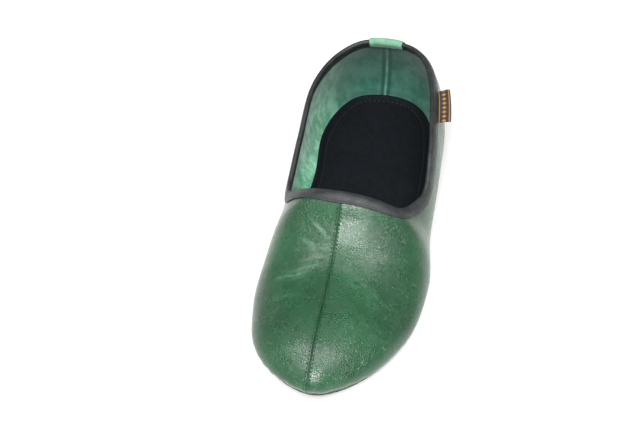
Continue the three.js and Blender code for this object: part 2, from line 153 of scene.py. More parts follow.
# Height of the collar, as a mix of the throat's, the dip's and the heel's height
INNER_COLLAR: Table = {
    "along": (0.4, 0.415, 0.44, 0.475, 0.52, 0.6, 0.7, 0.78, 0.93, 1.0),
    "throat": (1.0, 0.84, 0.546, 0.114, 0.0, 0.0, 0.0, 0.0, 0.0, 0.0),
    "heel": (0.0, 0.0, 0.0, 0.0, 0.02, 0.253, 0.531, 0.663, 0.83, 1.0),
}
OUTER_COLLAR: Table = {
    "along": (0.4, 0.412, 0.43, 0.457, 0.5, 0.56, 0.6, 0.7, 0.78, 0.93, 1.0),
    "throat": (1.0, 0.56, 0.33, 0.12, 0.02, 0.0, 0.0, 0.0, 0.0, 0.0, 0.0),
    "heel": (0.0, 0.0, 0.0, 0.0, 0.02, 0.34, 0.59, 0.876, 0.97, 1.1, 1.0),
}

# Line of the centre seam seen from above
SEAM: Table = {"along": (0.17, 0.4, 0.86), "across": (-0.037, -0.042, -0.01)}


def clamp(value: Array | float, low: float, high: float) -> Array:
    """Keeps values inside a range."""
    return np.minimum(np.maximum(value, low), high)


def lerp(start: Any, end: Any, share: Any) -> Any:
    """Mixes two values."""
    return start + (end - start) * share


def smoothstep(value: Array | float, low: float, high: float) -> Array:
    """Rises smoothly from 0 at low to 1 at high."""
    share = clamp((np.asarray(value, float) - low) / (high - low), 0.0, 1.0)
    return share * share * (3 - 2 * share)


def hump(value: Array, width: float) -> Array:
    """A soft hump of height 1 round value 0."""
    return np.exp(-((value / width) ** 2))


def hermite(start: Array, end: Array, leave: Array, reach: Array, share: Array) -> Array:
    """A cubic curve between two points.

    Args:
        start: values at share 0.
        end: values at share 1.
        leave: slopes at the start.
        reach: slopes at the end.
        share: places between the two.
    Returns:
        The curve's values at the places.
    """
    rise = end - start
    bend = 3 * rise - 2 * leave - reach + share * (leave + reach - 2 * rise)
    return start + share * (leave + share * bend)


class TableCurve:
    """A smooth curve through one column of a table, which never swings past a row's value."""

    def __init__(self, table: Table, column: str) -> None:
        """Takes one column of a table.

        Args:
            table: the rows, each with its share of the length.
            column: name of the column.
        """
        self.at = np.array(table["along"])
        self.value = np.array(table[column])
        slope = np.diff(self.value) / np.diff(self.at)
        before, after = slope[:-1], slope[1:]
        rising = before * after > 0
        safe_before = np.where(rising, before, 1.0)
        safe_after = np.where(rising, after, 1.0)
        middle = np.where(rising, 2 / (1 / safe_before + 1 / safe_after), 0.0)
        self.tangent = np.concatenate([[slope[0]], middle, [slope[-1]]])

    def __call__(self, along: Array | float) -> Array:
        """The column's value at shares of the length.

        Args:
            along: shares of the length.
        Returns:
            The value at each share.
        """
        place = clamp(np.asarray(along, float), self.at[0], self.at[-1])
        row = np.searchsorted(self.at, place, side="right") - 1
        row = np.minimum(row, len(self.at) - 2)
        span = self.at[row + 1] - self.at[row]
        t = (place - self.at[row]) / span
        leave, reach = self.tangent[row] * span, self.tangent[row + 1] * span
        return hermite(self.value[row], self.value[row + 1], leave, reach, t)


def smooth_loop(corners: Array, steps: int) -> Array:
    """A closed centripetal spline through points in the plane.

    Args:
        corners: the points.
        steps: how many pieces the result has.
    Returns:
        Points along the curve, the first one also at the end.
    """
    before, here = np.roll(corners, 1, 0), corners
    after, beyond = np.roll(corners, -1, 0), np.roll(corners, -2, 0)

    def gap(a: Array, b: Array) -> Array:
        """Root of the distances between points."""
        return np.linalg.norm(b - a, axis=1, keepdims=True) ** 0.5

    d0, d1, d2 = gap(before, here), gap(here, after), gap(after, beyond)
    leave = ((here - before) / d0 - (after - before) / (d0 + d1) + (after - here) / d1) * d1
    reach = ((after - here) / d1 - (beyond - here) / (d1 + d2) + (beyond - after) / d2) * d1
    count = len(corners)
    place = np.linspace(0, count, steps + 1)
    row = np.floor(place).astype(int) % count
    t = (place - np.floor(place))[:, None]
    return hermite(here[row], after[row], leave[row], reach[row], t)


def as_arrays(*values: Array | float) -> list[Array]:
    """Turns values into arrays of one shape."""
    return np.broadcast_arrays(*(np.asarray(value, float) for value in values))


def unit(vectors: Array) -> Array:
    """Vectors scaled to length 1."""
    return vectors / np.linalg.norm(vectors, axis=-1, keepdims=True)


def dot(a: Array, b: Array) -> Array:
    """Dot product along the last axis."""
    return (a * b).sum(-1)


@dataclass
class Ribs:
    """Rays in plan from the seam line to the shoe's edge."""

    side: Array
    x: Array
    y: Array
    dx: Array
    dy: Array
    reach: Array
    edge_y: Array
    inset: Array
    bulge: Array

    def point(self, reach: Array, z: Array) -> Array:
        """The point at a plan distance along each rib and at a height."""
        reach, z = np.broadcast_arrays(reach, z)
        return np.stack([self.x + self.dx * reach, self.y + self.dy * reach, z], -1)


@dataclass
class Foot:
    """Points of the upper's skin, with the directions out of it and down in it."""

    point: Array
    normal: Array
    down: Array


class ShoeForm:
    """The form of the upper and the sole, the same functions that the solids are built from.

    A turn runs from -1 at the heel's back to 0, round the heel, then to 1 along the side, then to 2
    at the toe's tip. A climb is -1 at the upper's lower edge, 0 at the bulge and 1 on the centre line.
    """

    crown_roundness = 1.75
    front_roundness = 2.0
    rear_roundness = 2.35
    roundness_change = (0.44, 0.62)
    skirt_turn = math.radians(66)
    spring_end = 0.28
    waist = (0.54, 0.76)
    toe_pivot = 0.17
    heel_pivot = 0.86
    plan_points = 1440
    step = 1e-4

    def __init__(self, sizes: ShoeSizes) -> None:
        """Works out the curves of the whole shoe.

        Args:
            sizes: measures in millimetres.
        """
        self.s = sizes
        self.bulge_level = TableCurve(BULGE, "level")
        self.bulge_inset = {1: TableCurve(BULGE, "outer"), -1: TableCurve(BULGE, "inner")}
        self.crown_share = {1: TableCurve(CROWN, "outer"), -1: TableCurve(CROWN, "inner")}
        self.collars = {1: OUTER_COLLAR, -1: INNER_COLLAR}
        self.collar_throat = {
            side: TableCurve(table, "throat") for side, table in self.collars.items()
        }
        self.collar_heel = {side: TableCurve(table, "heel") for side, table in self.collars.items()}
        self.seam_across = TableCurve(SEAM, "across")
        self.throat_turn = self.turn_at(THROAT_ALONG)
        self.plan = self._outline()

    def y_at(self, along: Array | float) -> Array | float:
        """Distance along the shoe, from its middle, at a share of its length."""
        return (np.asarray(along, float) - 0.5) * self.s.length

    def along_at(self, y: Array | float) -> Array | float:
        """Share of the length at a distance from the shoe's middle."""
        return np.asarray(y, float) / self.s.length + 0.5

    def turn_at(self, along: float) -> float:
        """Turn of the rib that starts at a share of the length."""
        return (self.heel_pivot - along) / (self.heel_pivot - self.toe_pivot)

    def _outline(self) -> Array:
        """Edge of the shoe seen from above."""
        along = np.array(PLAN["along"])
        width = lerp(self.s.ball_width, self.s.heel_width, smoothstep(along, 0.4, 0.8))
        y = self.y_at(along)
        outer = np.stack([np.array(PLAN["outer"]) * width, y], -1)
        inner = np.stack([-np.array(PLAN["inner"]) * width, y], -1)[::-1]
        toe = [[TOE_TIP_ACROSS * self.s.ball_width, self.y_at(0)]]
        heel = [[HEEL_BACK_ACROSS * self.s.heel_width, self.y_at(1)]]
        return smooth_loop(np.concatenate([toe, outer, heel, inner]), self.plan_points)

    def lift(self, y: Array) -> Array:
        """Lift of the sole above the floor."""
        along = self.along_at(y)
        toe = np.maximum(0.0, 1 - along / self.spring_end) ** 2
        in_waist = clamp((along - self.waist[0]) / (self.waist[1] - self.waist[0]), 0.0, 1.0)
        return self.s.toe_spring * toe + self.s.arch_rise * np.sin(math.pi * in_waist) ** 2

    def _by_side(self, curves: dict[int, TableCurve], side: Array, y: Array) -> Array:
        """Value of each side's own curve."""
        along = self.along_at(y)
        return np.where(np.asarray(side) > 0, curves[1](along), curves[-1](along))

    def _roundness(self, rib: Ribs) -> Array:
        """Exponent of the section over a rib, fuller toward the heel."""
        rear = smoothstep(self.along_at(rib.edge_y), *self.roundness_change)
        return lerp(self.front_roundness, self.rear_roundness, rear)

    def crown(self, side: Array, y: Array) -> Array:
        """Height that the wall of a side climbs to."""
        return self.s.throat_height * self._by_side(self.crown_share, side, y)

    def collar(self, side: Array, y: Array) -> Array:
        """Height of the collar's edge."""
        dip = np.where(np.asarray(side) > 0, self.s.outer_dip_height, self.s.inner_dip_height)
        throat = self._by_side(self.collar_throat, side, y)
        heel = self._by_side(self.collar_heel, side, y)
        return dip + (self.s.throat_height - dip) * throat + (self.s.heel_height - dip) * heel

    def seam_x(self, y: Array) -> Array:
        """Line of the centre seam."""
        return self.seam_across(self.along_at(y)) * self.s.ball_width

    def _reach(self, x: Array, y: Array, dx: Array, dy: Array) -> Array:
        """Distance from points inside the plan to its edge.

        Args:
            x: the points' places across.
            y: the points' places along.
            dx: their directions across.
            dy: their directions along.
        Returns:
            The distances.
        """
        start, edge = self.plan[:-1], np.diff(self.plan, axis=0)
        wx, wy = start[:, 0] - x[:, None], start[:, 1] - y[:, None]
        ex, ey = edge[:, 0], edge[:, 1]
        cross = dx[:, None] * ey - dy[:, None] * ex
        cross = np.where(cross == 0, 1e-30, cross)
        part = (wx * dy[:, None] - wy * dx[:, None]) / cross
        reach = (wx * ey - wy * ex) / cross
        return np.where((part >= -1e-9) & (part <= 1 + 1e-9), reach, 0.0).max(1)

    def ribs(self, side: Array | float, turn: Array | float) -> Ribs:
        """The ribs of some turns.

        Args:
            side: 1 on the outer side, -1 on the inner side.
            turn: the ribs' turns.
        Returns:
            The ribs, with a number for each pair of side and turn in each field.
        """
        side, turn = as_arrays(side, turn)
        turns, where = np.unique(turn, return_inverse=True)
        where = where.reshape(turn.shape)
        along = lerp(self.heel_pivot, self.toe_pivot, clamp(turns, 0.0, 1.0))
        bend = np.where(turns < 0, -turns, np.maximum(0.0, turns - 1)) * (math.pi / 2)
        x, y = self.seam_across(along) * self.s.ball_width, self.y_at(along)
        dy = np.sin(bend) * np.where(turns < 0, 1.0, -1.0)
        rows = []
        for sign in (1, -1):
            dx = sign * np.cos(bend)
            reach = self._reach(x, y, dx, dy)
            edge_y = y + dy * reach
            inset = self.bulge_inset[sign](self.along_at(edge_y)) * self.s.ball_width
            level = self.bulge_level(self.along_at(edge_y))
            feather = self.s.feather_height
            bulge = self.lift(edge_y) + feather + (self.s.throat_height - feather) * level
            rows.append(np.stack([x, y, dx, dy, reach, edge_y, inset, bulge]))
        picked = np.where(side > 0, rows[0][:, where], rows[1][:, where])
        return Ribs(side, *picked)

    def skin(self, side: Array | float, turn: Array | float, climb: Array | float) -> Array:
        """Points of the upper's outer surface.

        Args:
            side: 1 on the outer side, -1 on the inner side.
            turn: turn of each point's rib.
            climb: how far up its rib each point lies; past 1 it goes on down the other side.
        Returns:
            The points.
        """
        side, turn, climb = as_arrays(side, turn, climb)
        over = climb > 1
        side, climb = np.where(over, -side, side), np.where(over, 2 - climb, climb)
        rib = self.ribs(side, turn)
        angle = clamp(climb, 0.0, 1.0) * (math.pi / 2)
        reach = rib.reach * np.maximum(0.0, np.cos(angle)) ** (2 / self._roundness(rib))
        crown_y = np.where(turn > 1, rib.y + rib.dy * reach, rib.edge_y)
        climbed = np.sin(angle) ** (2 / self.crown_roundness)
        height = rib.bulge + (self.crown(side, crown_y) - rib.bulge) * climbed
        foot_y = rib.y + rib.dy * (rib.reach - rib.inset)
        drop = rib.bulge - self.s.feather_height - self.lift(foot_y)
        bend = clamp(-climb, 0.0, 1.2) * self.skirt_turn
        below = climb < 0
        tuck = (1 - np.cos(bend)) / (1 - math.cos(self.skirt_turn))
        reach = np.where(below, rib.reach - rib.inset * tuck, reach)
        height = np.where(below, rib.bulge - drop * np.sin(bend) / math.sin(self.skirt_turn), height)
        return rib.point(reach, height)

    def edge_climb(self, side: Array | float, turn: Array | float) -> Array:
        """How far up each rib the collar's edge lies.

        Args:
            side: 1 on the outer side, -1 on the inner side.
            turn: turn of each rib.
        Returns:
            The climb of the edge on each rib.
        """
        rib = self.ribs(side, turn)
        collar, crown = self.collar(rib.side, rib.edge_y), self.crown(rib.side, rib.edge_y)
        share = (collar - rib.bulge) / (crown - rib.bulge)
        climb = np.arcsin(clamp(share, 0.0, 1.0) ** (self.crown_roundness / 2)) * 2 / math.pi
        return np.where(np.asarray(turn) >= self.throat_turn, 1.0, climb)

    def slopes(
        self, side: Array | float, turn: Array | float, climb: Array | float
    ) -> tuple[Array, Array]:
        """How the skin runs along the ribs and round the shoe.

        Args:
            side: 1 on the outer side, -1 on the inner side.
            turn: turn of each rib.
            climb: how far up the rib each point lies.
        Returns:
            The two directions at each point.
        """
        h = self.step
        along_rib = (self.skin(side, turn, climb + h) - self.skin(side, turn, climb - h)) / (2 * h)
        around = (self.skin(side, turn + h, climb) - self.skin(side, turn - h, climb)) / (2 * h)
        return along_rib, around

    def normal(self, side: Array | float, turn: Array | float, climb: Array | float) -> Array:
        """Directions that point out of the upper.

        Args:
            side: 1 on the outer side, -1 on the inner side.
            turn: turn of each rib.
            climb: how far up the rib each point lies.
        Returns:
            A unit direction for each point.
        """
        side, turn, climb = as_arrays(side, turn, climb)
        along_rib, around = self.slopes(side, turn, climb)
        out = np.cross(along_rib, around) * side[..., None]
        y = self.ribs(side, turn).y
        rise = (self.crown(side, y + self.step) - self.crown(side, y - self.step)) / (2 * self.step)
        ridge = np.stack([np.zeros_like(rise), -rise, np.ones_like(rise)], -1)
        return unit(np.where((np.abs(climb - 1) < 1e-9)[..., None], ridge, out))

    def down_from_edge(self, side: float, turn: Array, depths: Sequence[float]) -> list[Foot]:
        """Follows the skin from the collar's edge straight down into the upper.

        Args:
            side: 1 on the outer side, -1 on the inner side.
            turn: turns of the ribs that the walks start on.
            depths: lengths of walk, in rising order.
        Returns:
            The points reached, one set for each depth.
        """
        h = self.step / 50
        climb = self.edge_climb(side, turn)
        before = self.skin(side, turn - h, self.edge_climb(side, turn - h))
        after = self.skin(side, turn + h, self.edge_climb(side, turn + h))
        run = before - after
        at_throat = np.abs(turn - self.throat_turn) < 2 * h
        run = np.where(at_throat[:, None], np.array([side, 0.0, 0.0]), run)
        down = unit(np.cross(unit(run), self.normal(side, turn, climb))) * side
        place, climb, depth, feet = turn.copy(), climb.copy(), 0.0, []
        for target in depths:
            count = max(1, math.ceil((target - depth) / 1.0))
            for _ in range(count if target > depth else 0):
                along_rib, around = self.slopes(side, place, climb)
                normal = self.normal(side, place, climb)
                flat = unit(down - normal * dot(down, normal)[:, None])
                uu, uv, vv = dot(around, around), dot(around, along_rib), dot(along_rib, along_rib)
                u, v = dot(around, flat), dot(along_rib, flat)
                stride = (target - depth) / count / (uu * vv - uv * uv)
                place = place + (u * vv - v * uv) * stride
                climb = climb + (v * uu - u * uv) * stride
            depth = target
            normal = self.normal(side, place, climb)
            flat = unit(down - normal * dot(down, normal)[:, None])
            feet.append(Foot(self.skin(side, place, climb), normal, flat))
        return feet

    def over_plan(self, x: Array, y: Array) -> tuple[Array, Array, Array]:
        """Finds the vamp's points above points in plan.

        Args:
            x: places across.
            y: places along.
        Returns:
            The points' sides, turns and climbs.
        """
        pivot_y = float(self.y_at(self.toe_pivot))
        dx = x - self.seam_x(y)
        side = np.where(dx >= 0, 1.0, -1.0)
        ahead = np.maximum(0.0, pivot_y - y)
        turn = np.where(
            y < pivot_y,
            1 + np.arctan2(ahead, np.abs(dx)) / (math.pi / 2),
            (self.heel_pivot - self.along_at(y)) / (self.heel_pivot - self.toe_pivot),
        )
        rib = self.ribs(side, turn)
        share = clamp(np.hypot(dx, ahead) / rib.reach, 0.0, 1.0)
        return side, turn, np.arccos(share ** (self._roundness(rib) / 2)) * 2 / math.pi

    def raised(self, rib: Ribs, reach: Array, height: Array | float) -> Array:
        """Points of ribs at a height above the lifted floor."""
        return rib.point(reach, height + self.lift(rib.y + rib.dy * reach))

    def inner_reach(self, side: Array, turn: Array, height: float) -> Array:
        """Plan distance from the seam line to the upper's inner surface.

        Args:
            side: sides of the ribs.
            turn: turns of the ribs.
            height: height above the lifted floor.
        Returns:
            The distances.
        """
        low, high = np.full(turn.shape, -1.0), np.zeros(turn.shape)
        for _ in range(16):
            middle = (low + high) / 2
            point = self.skin(side, turn, middle) - self.normal(side, turn, middle) * self.s.wall
            under = point[:, 2] - self.lift(point[:, 1]) < height
            low, high = np.where(under, middle, low), np.where(under, high, middle)
        point = self.skin(side, turn, low) - self.normal(side, turn, low) * self.s.wall
        rib = self.ribs(side, turn)
        return (point[:, 0] - rib.x) * rib.dx + (point[:, 1] - rib.y) * rib.dy


class TurnPlan:
    """Ribs that the fine meshes are built on, closer together at the throat and the toe's seam."""

    def __init__(self, form: ShoeForm, heel: int, rear: int, front: int, toe: int) -> None:
        """Spreads the ribs.

        Args:
            form: the shoe's form.
            heel: how many stand round the heel.
            rear: how many stand from there to the throat.
            front: how many stand from the throat to the toe.
            toe: how many stand round the toe.
        """
        throat = form.throat_turn
        self.heel = np.arange(heel) / heel - 1.0
        self.rear = throat * (1 - (1 - np.arange(rear) / rear) ** 2.2)
        self.front = lerp(throat, 1.0, (np.arange(front) / front) ** 1.5)
        self.toe = 2 - (1 - np.arange(toe + 1) / toe) ** 1.5
        self.collar = np.concatenate([self.heel, self.rear, [throat]])
        self.all = np.concatenate([self.heel, self.rear, self.front, self.toe])

    @staticmethod
    def sides(turns: Array, side: int) -> Array:
        """The side of each rib; the first and last rib lie on the centre line and are shared."""
        result = np.full(len(turns), float(side))
        result[0] = result[-1] = 1.0
        return result


def add_object(name: str, data: bpy.types.ID) -> bpy.types.Object:
    """Makes an object of a mesh, lamp or camera and puts it in the scene."""
    result = bpy.data.objects.new(name, data)
    bpy.context.scene.collection.objects.link(result)
    return result


class MeshDraft:
    """Collects grids of points in millimetres and makes one mesh of them."""

    def __init__(self) -> None:
        """Starts without points or faces."""
        self.points: list[Array] = []
        self.faces: list[Array] = []
        self.kinds: list[Array] = []
        self.values: list[Array] = []
        self.count = 0

    def add(self, grid: Array, kind: int = 0, value: Array | float = 0.0) -> None:
        """Adds a grid of quads.

        Args:
            grid: points, rows by columns by 3.
            kind: material slot of the faces.
            value: a number for each point, kept as the attribute `shade`.
        """
        rows, columns = grid.shape[:2]
        index = np.arange(rows * columns).reshape(rows, columns) + self.count
        corners = [index[:-1, :-1], index[:-1, 1:], index[1:, 1:], index[1:, :-1]]
        quads = np.stack(corners, -1).reshape(-1, 4)
        self.points.append(grid.reshape(-1, 3))
        self.faces.append(quads)
        self.kinds.append(np.full(len(quads), kind))
        self.values.append(np.broadcast_to(value, (rows, columns)).reshape(-1))
        self.count += rows * columns

    def close(self, grid: Array) -> None:
        """Adds a strip of rings, a row for each, with its two flat ends."""
        self.add(np.concatenate([grid, grid[:, :1]], 1))
        half = grid.shape[1] // 2
        for end in (grid[0], grid[-1]):
            self.add(np.stack([end[:half], end[half:][::-1]], 1))

    def make(self, name: str, materials: Sequence[bpy.types.Material]) -> bpy.types.Object:
        """Shares the points that meet, turns the faces outward and makes the object.

        Args:
            name: name of the piece.
            materials: one for each kind of face.
        Returns:
            The piece.
        """
        points = np.concatenate(self.points)
        keys = np.round(points / MERGE_DISTANCE).astype(np.int64)
        _, first, where = np.unique(keys, axis=0, return_index=True, return_inverse=True)
        where = where.reshape(-1)
        kinds = np.concatenate(self.kinds)
        faces, kept = [], []
        for kind, quad in zip(kinds.tolist(), where[np.concatenate(self.faces)].tolist()):
            ring = [v for i, v in enumerate(quad) if v != quad[i - 1]]
            if len(set(ring)) == len(ring) and len(ring) > 2:
                faces.append(ring)
                kept.append(kind)
        mesh = bpy.data.meshes.new(name)
        mesh.from_pydata((points[first] * MM).tolist(), [], faces)
        mesh.polygons.foreach_set("material_index", kept)
        mesh.polygons.foreach_set("use_smooth", [True] * len(faces))
        shade = mesh.attributes.new("shade", "FLOAT", "POINT")
        shade.data.foreach_set("value", np.concatenate(self.values)[first].astype(np.float32))
        work = bmesh.new()
        work.from_mesh(mesh)
        bmesh.ops.recalc_face_normals(work, faces=work.faces[:])
        work.to_mesh(mesh)
        work.free()
        for material in materials:
            mesh.materials.append(material)
        return add_object(name, mesh)


# Materials


def linear(code: str) -> tuple[float, float, float, float]:
    """Turns an sRGB hex colour into linear RGBA."""
    values = [int(code[i : i + 2], 16) / 255 for i in (1, 3, 5)]
    r, g, b = (v / 12.92 if v <= 0.04045 else ((v + 0.055) / 1.055) ** 2.4 for v in values)
    return (r, g, b, 1.0)


def set_socket(tree: bpy.types.NodeTree, socket: bpy.types.NodeSocket, value: Any) -> None:
    """Links a socket to another one, or gives it a plain value."""
    if isinstance(value, bpy.types.NodeSocket):
        tree.links.new(value, socket)
    else:
        socket.default_value = value


def add_node(
    tree: bpy.types.NodeTree, kind: str, inputs: dict[Any, Any] | None = None, **settings: Any
) -> bpy.types.Node:
    """Adds a node to a tree.

    Args:
        tree: the tree.
        kind: the node's type.
        inputs: values or sockets for its inputs, by name or number.
        settings: the node's own properties.
    Returns:
        The new node.
    """
    node = tree.nodes.new(kind)
    for key, value in settings.items():
        setattr(node, key, value)
    for key, value in (inputs or {}).items():
        set_socket(tree, node.inputs[key], value)
    return node


class NodeBoard:
    """Builds one material's node tree."""

    def __init__(self, name: str) -> None:
        """Starts an empty material.

        Args:
            name: the material's name.
        """
        self.material = bpy.data.materials.new(name)
        self.material.use_nodes = True
        self.tree = self.material.node_tree
        self.shader = self.tree.nodes["Principled BSDF"]
        self._place = self.add("ShaderNodeTexCoord").outputs["Object"]

    def add(self, kind: str, inputs: dict[Any, Any] | None = None, **settings: Any) -> bpy.types.Node:
        """Adds a node to the material."""
        return add_node(self.tree, kind, inputs, **settings)

    def noise(self, size_mm: float, detail: float = 2.0, rough: float = 0.5) -> bpy.types.NodeSocket:
        """Soft noise.

        Args:
            size_mm: size of its patches in millimetres.
            detail: how many finer layers it has.
            rough: how strong the finer layers are.
        Returns:
            The noise, around one half.
        """
        values = {"Vector": self._place, "Scale": 1 / (size_mm * MM)}
        values.update({"Detail": detail, "Roughness": rough})
        return self.add("ShaderNodeTexNoise", values).outputs["Fac"]

    def cells(self, size_mm: float, feature: str, warp: float = 0.0) -> bpy.types.NodeSocket:
        """Distance in a pattern of cells.

        Args:
            size_mm: size of the cells in millimetres.
            feature: which distance it is.
            warp: how far the cells are pushed out of shape, as a share of their size.
        Returns:
            The distance, in cells.
        """
        place = self._place
        if warp:
            drift = {"Vector": place, "Scale": 0.45 / (size_mm * MM), "Detail": 1.0}
            shift = self.add("ShaderNodeTexNoise", drift).outputs["Color"]
            moved = {0: shift, 1: (warp * size_mm * MM,) * 3, 2: place}
            place = self.add("ShaderNodeVectorMath", moved, operation="MULTIPLY_ADD").outputs[0]
        values = {"Vector": place, "Scale": 1 / (size_mm * MM)}
        return self.add("ShaderNodeTexVoronoi", values, feature=feature).outputs["Distance"]

    def spread(
        self, value: Any, low: float, high: float, start: float = 0.0, end: float = 1.0
    ) -> bpy.types.NodeSocket:
        """Maps a range onto another one, held at its ends.

        Args:
            value: the socket that is mapped.
            low: lower end of its range.
            high: upper end of its range.
            start: result at the lower end.
            end: result at the upper end.
        Returns:
            The mapped value.
        """
        values = {"Value": value, "From Min": low, "From Max": high, "To Min": start, "To Max": end}
        return self.add("ShaderNodeMapRange", values).outputs["Result"]

    def math(self, operation: str, a: Any, b: Any = 0.0) -> bpy.types.NodeSocket:
        """One sum of two values."""
        return self.add("ShaderNodeMath", {0: a, 1: b}, operation=operation).outputs[0]

    def mix(self, share: Any, a: Any, b: Any) -> bpy.types.NodeSocket:
        """Mixes two colours."""
        node = self.add("ShaderNodeMix", {"Factor": share}, data_type="RGBA")
        for socket, value in ((node.inputs[6], a), (node.inputs[7], b)):
            set_socket(self.tree, socket, linear(value) if isinstance(value, str) else value)
        return node.outputs[2]

    def shade(self) -> bpy.types.NodeSocket:
        """The piece's own `shade` attribute."""
        return self.add("ShaderNodeAttribute", attribute_name="shade").outputs["Fac"]

    def bump(
        self, height: Any, depth_mm: float, strength: float = 1.0, below: Any = None
    ) -> bpy.types.NodeSocket:
        """Raises the surface by a height pattern.

        Args:
            height: the pattern.
            depth_mm: its depth.
            strength: how much of it is used.
            below: the relief that it lies on.
        Returns:
            The new relief.
        """
        values: dict[Any, Any] = {"Height": height, "Distance": depth_mm * MM, "Strength": strength}
        if below is not None:
            values["Normal"] = below
        return self.add("ShaderNodeBump", values).outputs["Normal"]

    def finish(self, **inputs: Any) -> bpy.types.Material:
        """Sets the shader's sockets and returns the material."""
        for name, value in inputs.items():
            set_socket(self.tree, self.shader.inputs[name.replace("_", " ")], value)
        return self.material


@dataclass(frozen=True)
class GrainLeather:
    """Glossy leather with a fine pebble grain, painted paler on its crease ridges, part wear and part
    painted highlight, and with painted shade in the channels between pebbles.
    """

    name: str = "green_grain_leather"
    dark: str = "#04341a"
    light: str = "#0d4c28"
    # Pale green of the crease ridges: part wear, part painted highlight
    wear_highlight: str = "#76ab8b"
    pebble_mm: float = 1.1
    pebble_depth: float = 0.13
    wrinkle_depth: float = 0.2
    roughness: tuple[float, float] = (0.23, 0.33)

    def make(self) -> bpy.types.Material:
        """Builds the material.

        Returns:
            The material.
        """
        board = NodeBoard(self.name)
        patches = board.spread(board.noise(28, 3, 0.55), 0.3, 0.7)
        mottle = board.spread(board.noise(6, 2), 0.35, 0.7)
        pebbles = board.cells(self.pebble_mm, "DISTANCE_TO_EDGE", 0.8)
        pads = board.spread(pebbles, 0.0, 0.16)
        fine = board.noise(0.45, 2)
        body = board.mix(patches, self.dark, self.light)
        body = board.mix(board.math("MULTIPLY", mottle, 0.25), body, self.light)
        # Painted shade: the channels between pebbles are darkened
        channel_shade = board.spread(pads, 0.0, 1.0, 0.22, 0.0)
        body = board.mix(channel_shade, body, self.dark)
        patchy = board.spread(board.noise(1.6, 3, 0.6), 0.35, 0.65)
        # Paler colour on the crease ridges from the `shade` attribute: part wear, part painted
        # highlight
        wear_highlight = board.math("MULTIPLY", board.shade(), patchy)
        body = board.mix(wear_highlight, body, self.wear_highlight)
        grain = board.spread(board.noise(14, 2), 0.3, 0.7, 0.55, 1.0)
        height = board.math("MULTIPLY", pads, grain)
        relief = board.bump(height, self.pebble_depth)
        relief = board.bump(fine, 0.03, 1.0, relief)
        relief = board.bump(board.noise(3.2, 4, 0.6), self.wrinkle_depth, 1.0, relief)
        gloss = board.spread(board.noise(9, 3), 0.3, 0.7, *self.roughness)
        return board.finish(
            Base_Color=body, Roughness=gloss, Normal=relief, Specular_IOR_Level=0.6, Coat_Weight=0.15,
            Coat_Roughness=0.2,
        )


@dataclass(frozen=True)
class Suede:
    """Napped split leather with brushed lighter and darker places."""

    name: str
    dark: str
    light: str
    nap_mm: float = 0.35
    # Colour of the painted shade toward the heel and beside the back seam, partly the suede's own
    # darker tone
    heel_painted_shade: str = ""

    def make(self) -> bpy.types.Material:
        """Builds the material.

        Returns:
            The material.
        """
        board = NodeBoard(self.name)
        brushed = board.spread(board.noise(11, 4, 0.65), 0.4, 0.6)
        nap = board.spread(board.noise(self.nap_mm * 2.2, 3, 0.7), 0.3, 0.7)
        body = board.mix(brushed, self.dark, self.light)
        body = board.mix(board.math("MULTIPLY", nap, 0.3), body, self.dark)
        if self.heel_painted_shade:
            # Painted shade from the piece's `shade` attribute, toward the heel and beside the back seam
            body = board.mix(board.shade(), body, self.heel_painted_shade)
        relief = board.bump(board.noise(self.nap_mm, 3, 0.7), 0.12)
        return board.finish(
            Base_Color=body, Roughness=0.95, Normal=relief, Sheen_Weight=0.25, Sheen_Roughness=0.5,
            Specular_IOR_Level=0.15,
        )


@dataclass(frozen=True)
class SmoothLeather:
    """Plain leather with pores and fine wrinkles."""

    name: str
    dark: str
    light: str
    roughness: tuple[float, float] = (0.38, 0.55)
    pore_mm: float = 0.5
    depth: float = 0.05
    shine: float = 0.5

    def make(self) -> bpy.types.Material:
        """Builds the material.

        Returns:
            The material.
        """
        board = NodeBoard(self.name)
        patches = board.spread(board.noise(5, 4, 0.6), 0.3, 0.7)
        pores = board.spread(board.cells(self.pore_mm, "DISTANCE_TO_EDGE", 0.6), 0.0, 0.2)
        wrinkles = board.noise(1.8, 4, 0.6)
        body = board.mix(patches, self.dark, self.light)
        # Painted shade: the pores are darkened
        body = board.mix(board.spread(pores, 0.0, 1.0, 0.4, 0.0), body, self.dark)
        relief = board.bump(pores, self.depth)
        relief = board.bump(wrinkles, self.depth * 3, 1.0, relief)
        gloss = board.spread(board.noise(3, 3), 0.3, 0.7, *self.roughness)
        return board.finish(
            Base_Color=body, Roughness=gloss, Normal=relief, Specular_IOR_Level=self.shine
        )


@dataclass(frozen=True)
class Thread:
    """Twisted sewing thread."""

    name: str
    dark: str
    light: str

    def make(self) -> bpy.types.Material:
        """Builds the material."""
        board = NodeBoard(self.name)
        strand = board.noise(0.3, 2)
        body = board.mix(board.spread(strand, 0.35, 0.65), self.dark, self.light)
        return board.finish(Base_Color=body, Roughness=0.7, Normal=board.bump(strand, 0.05))


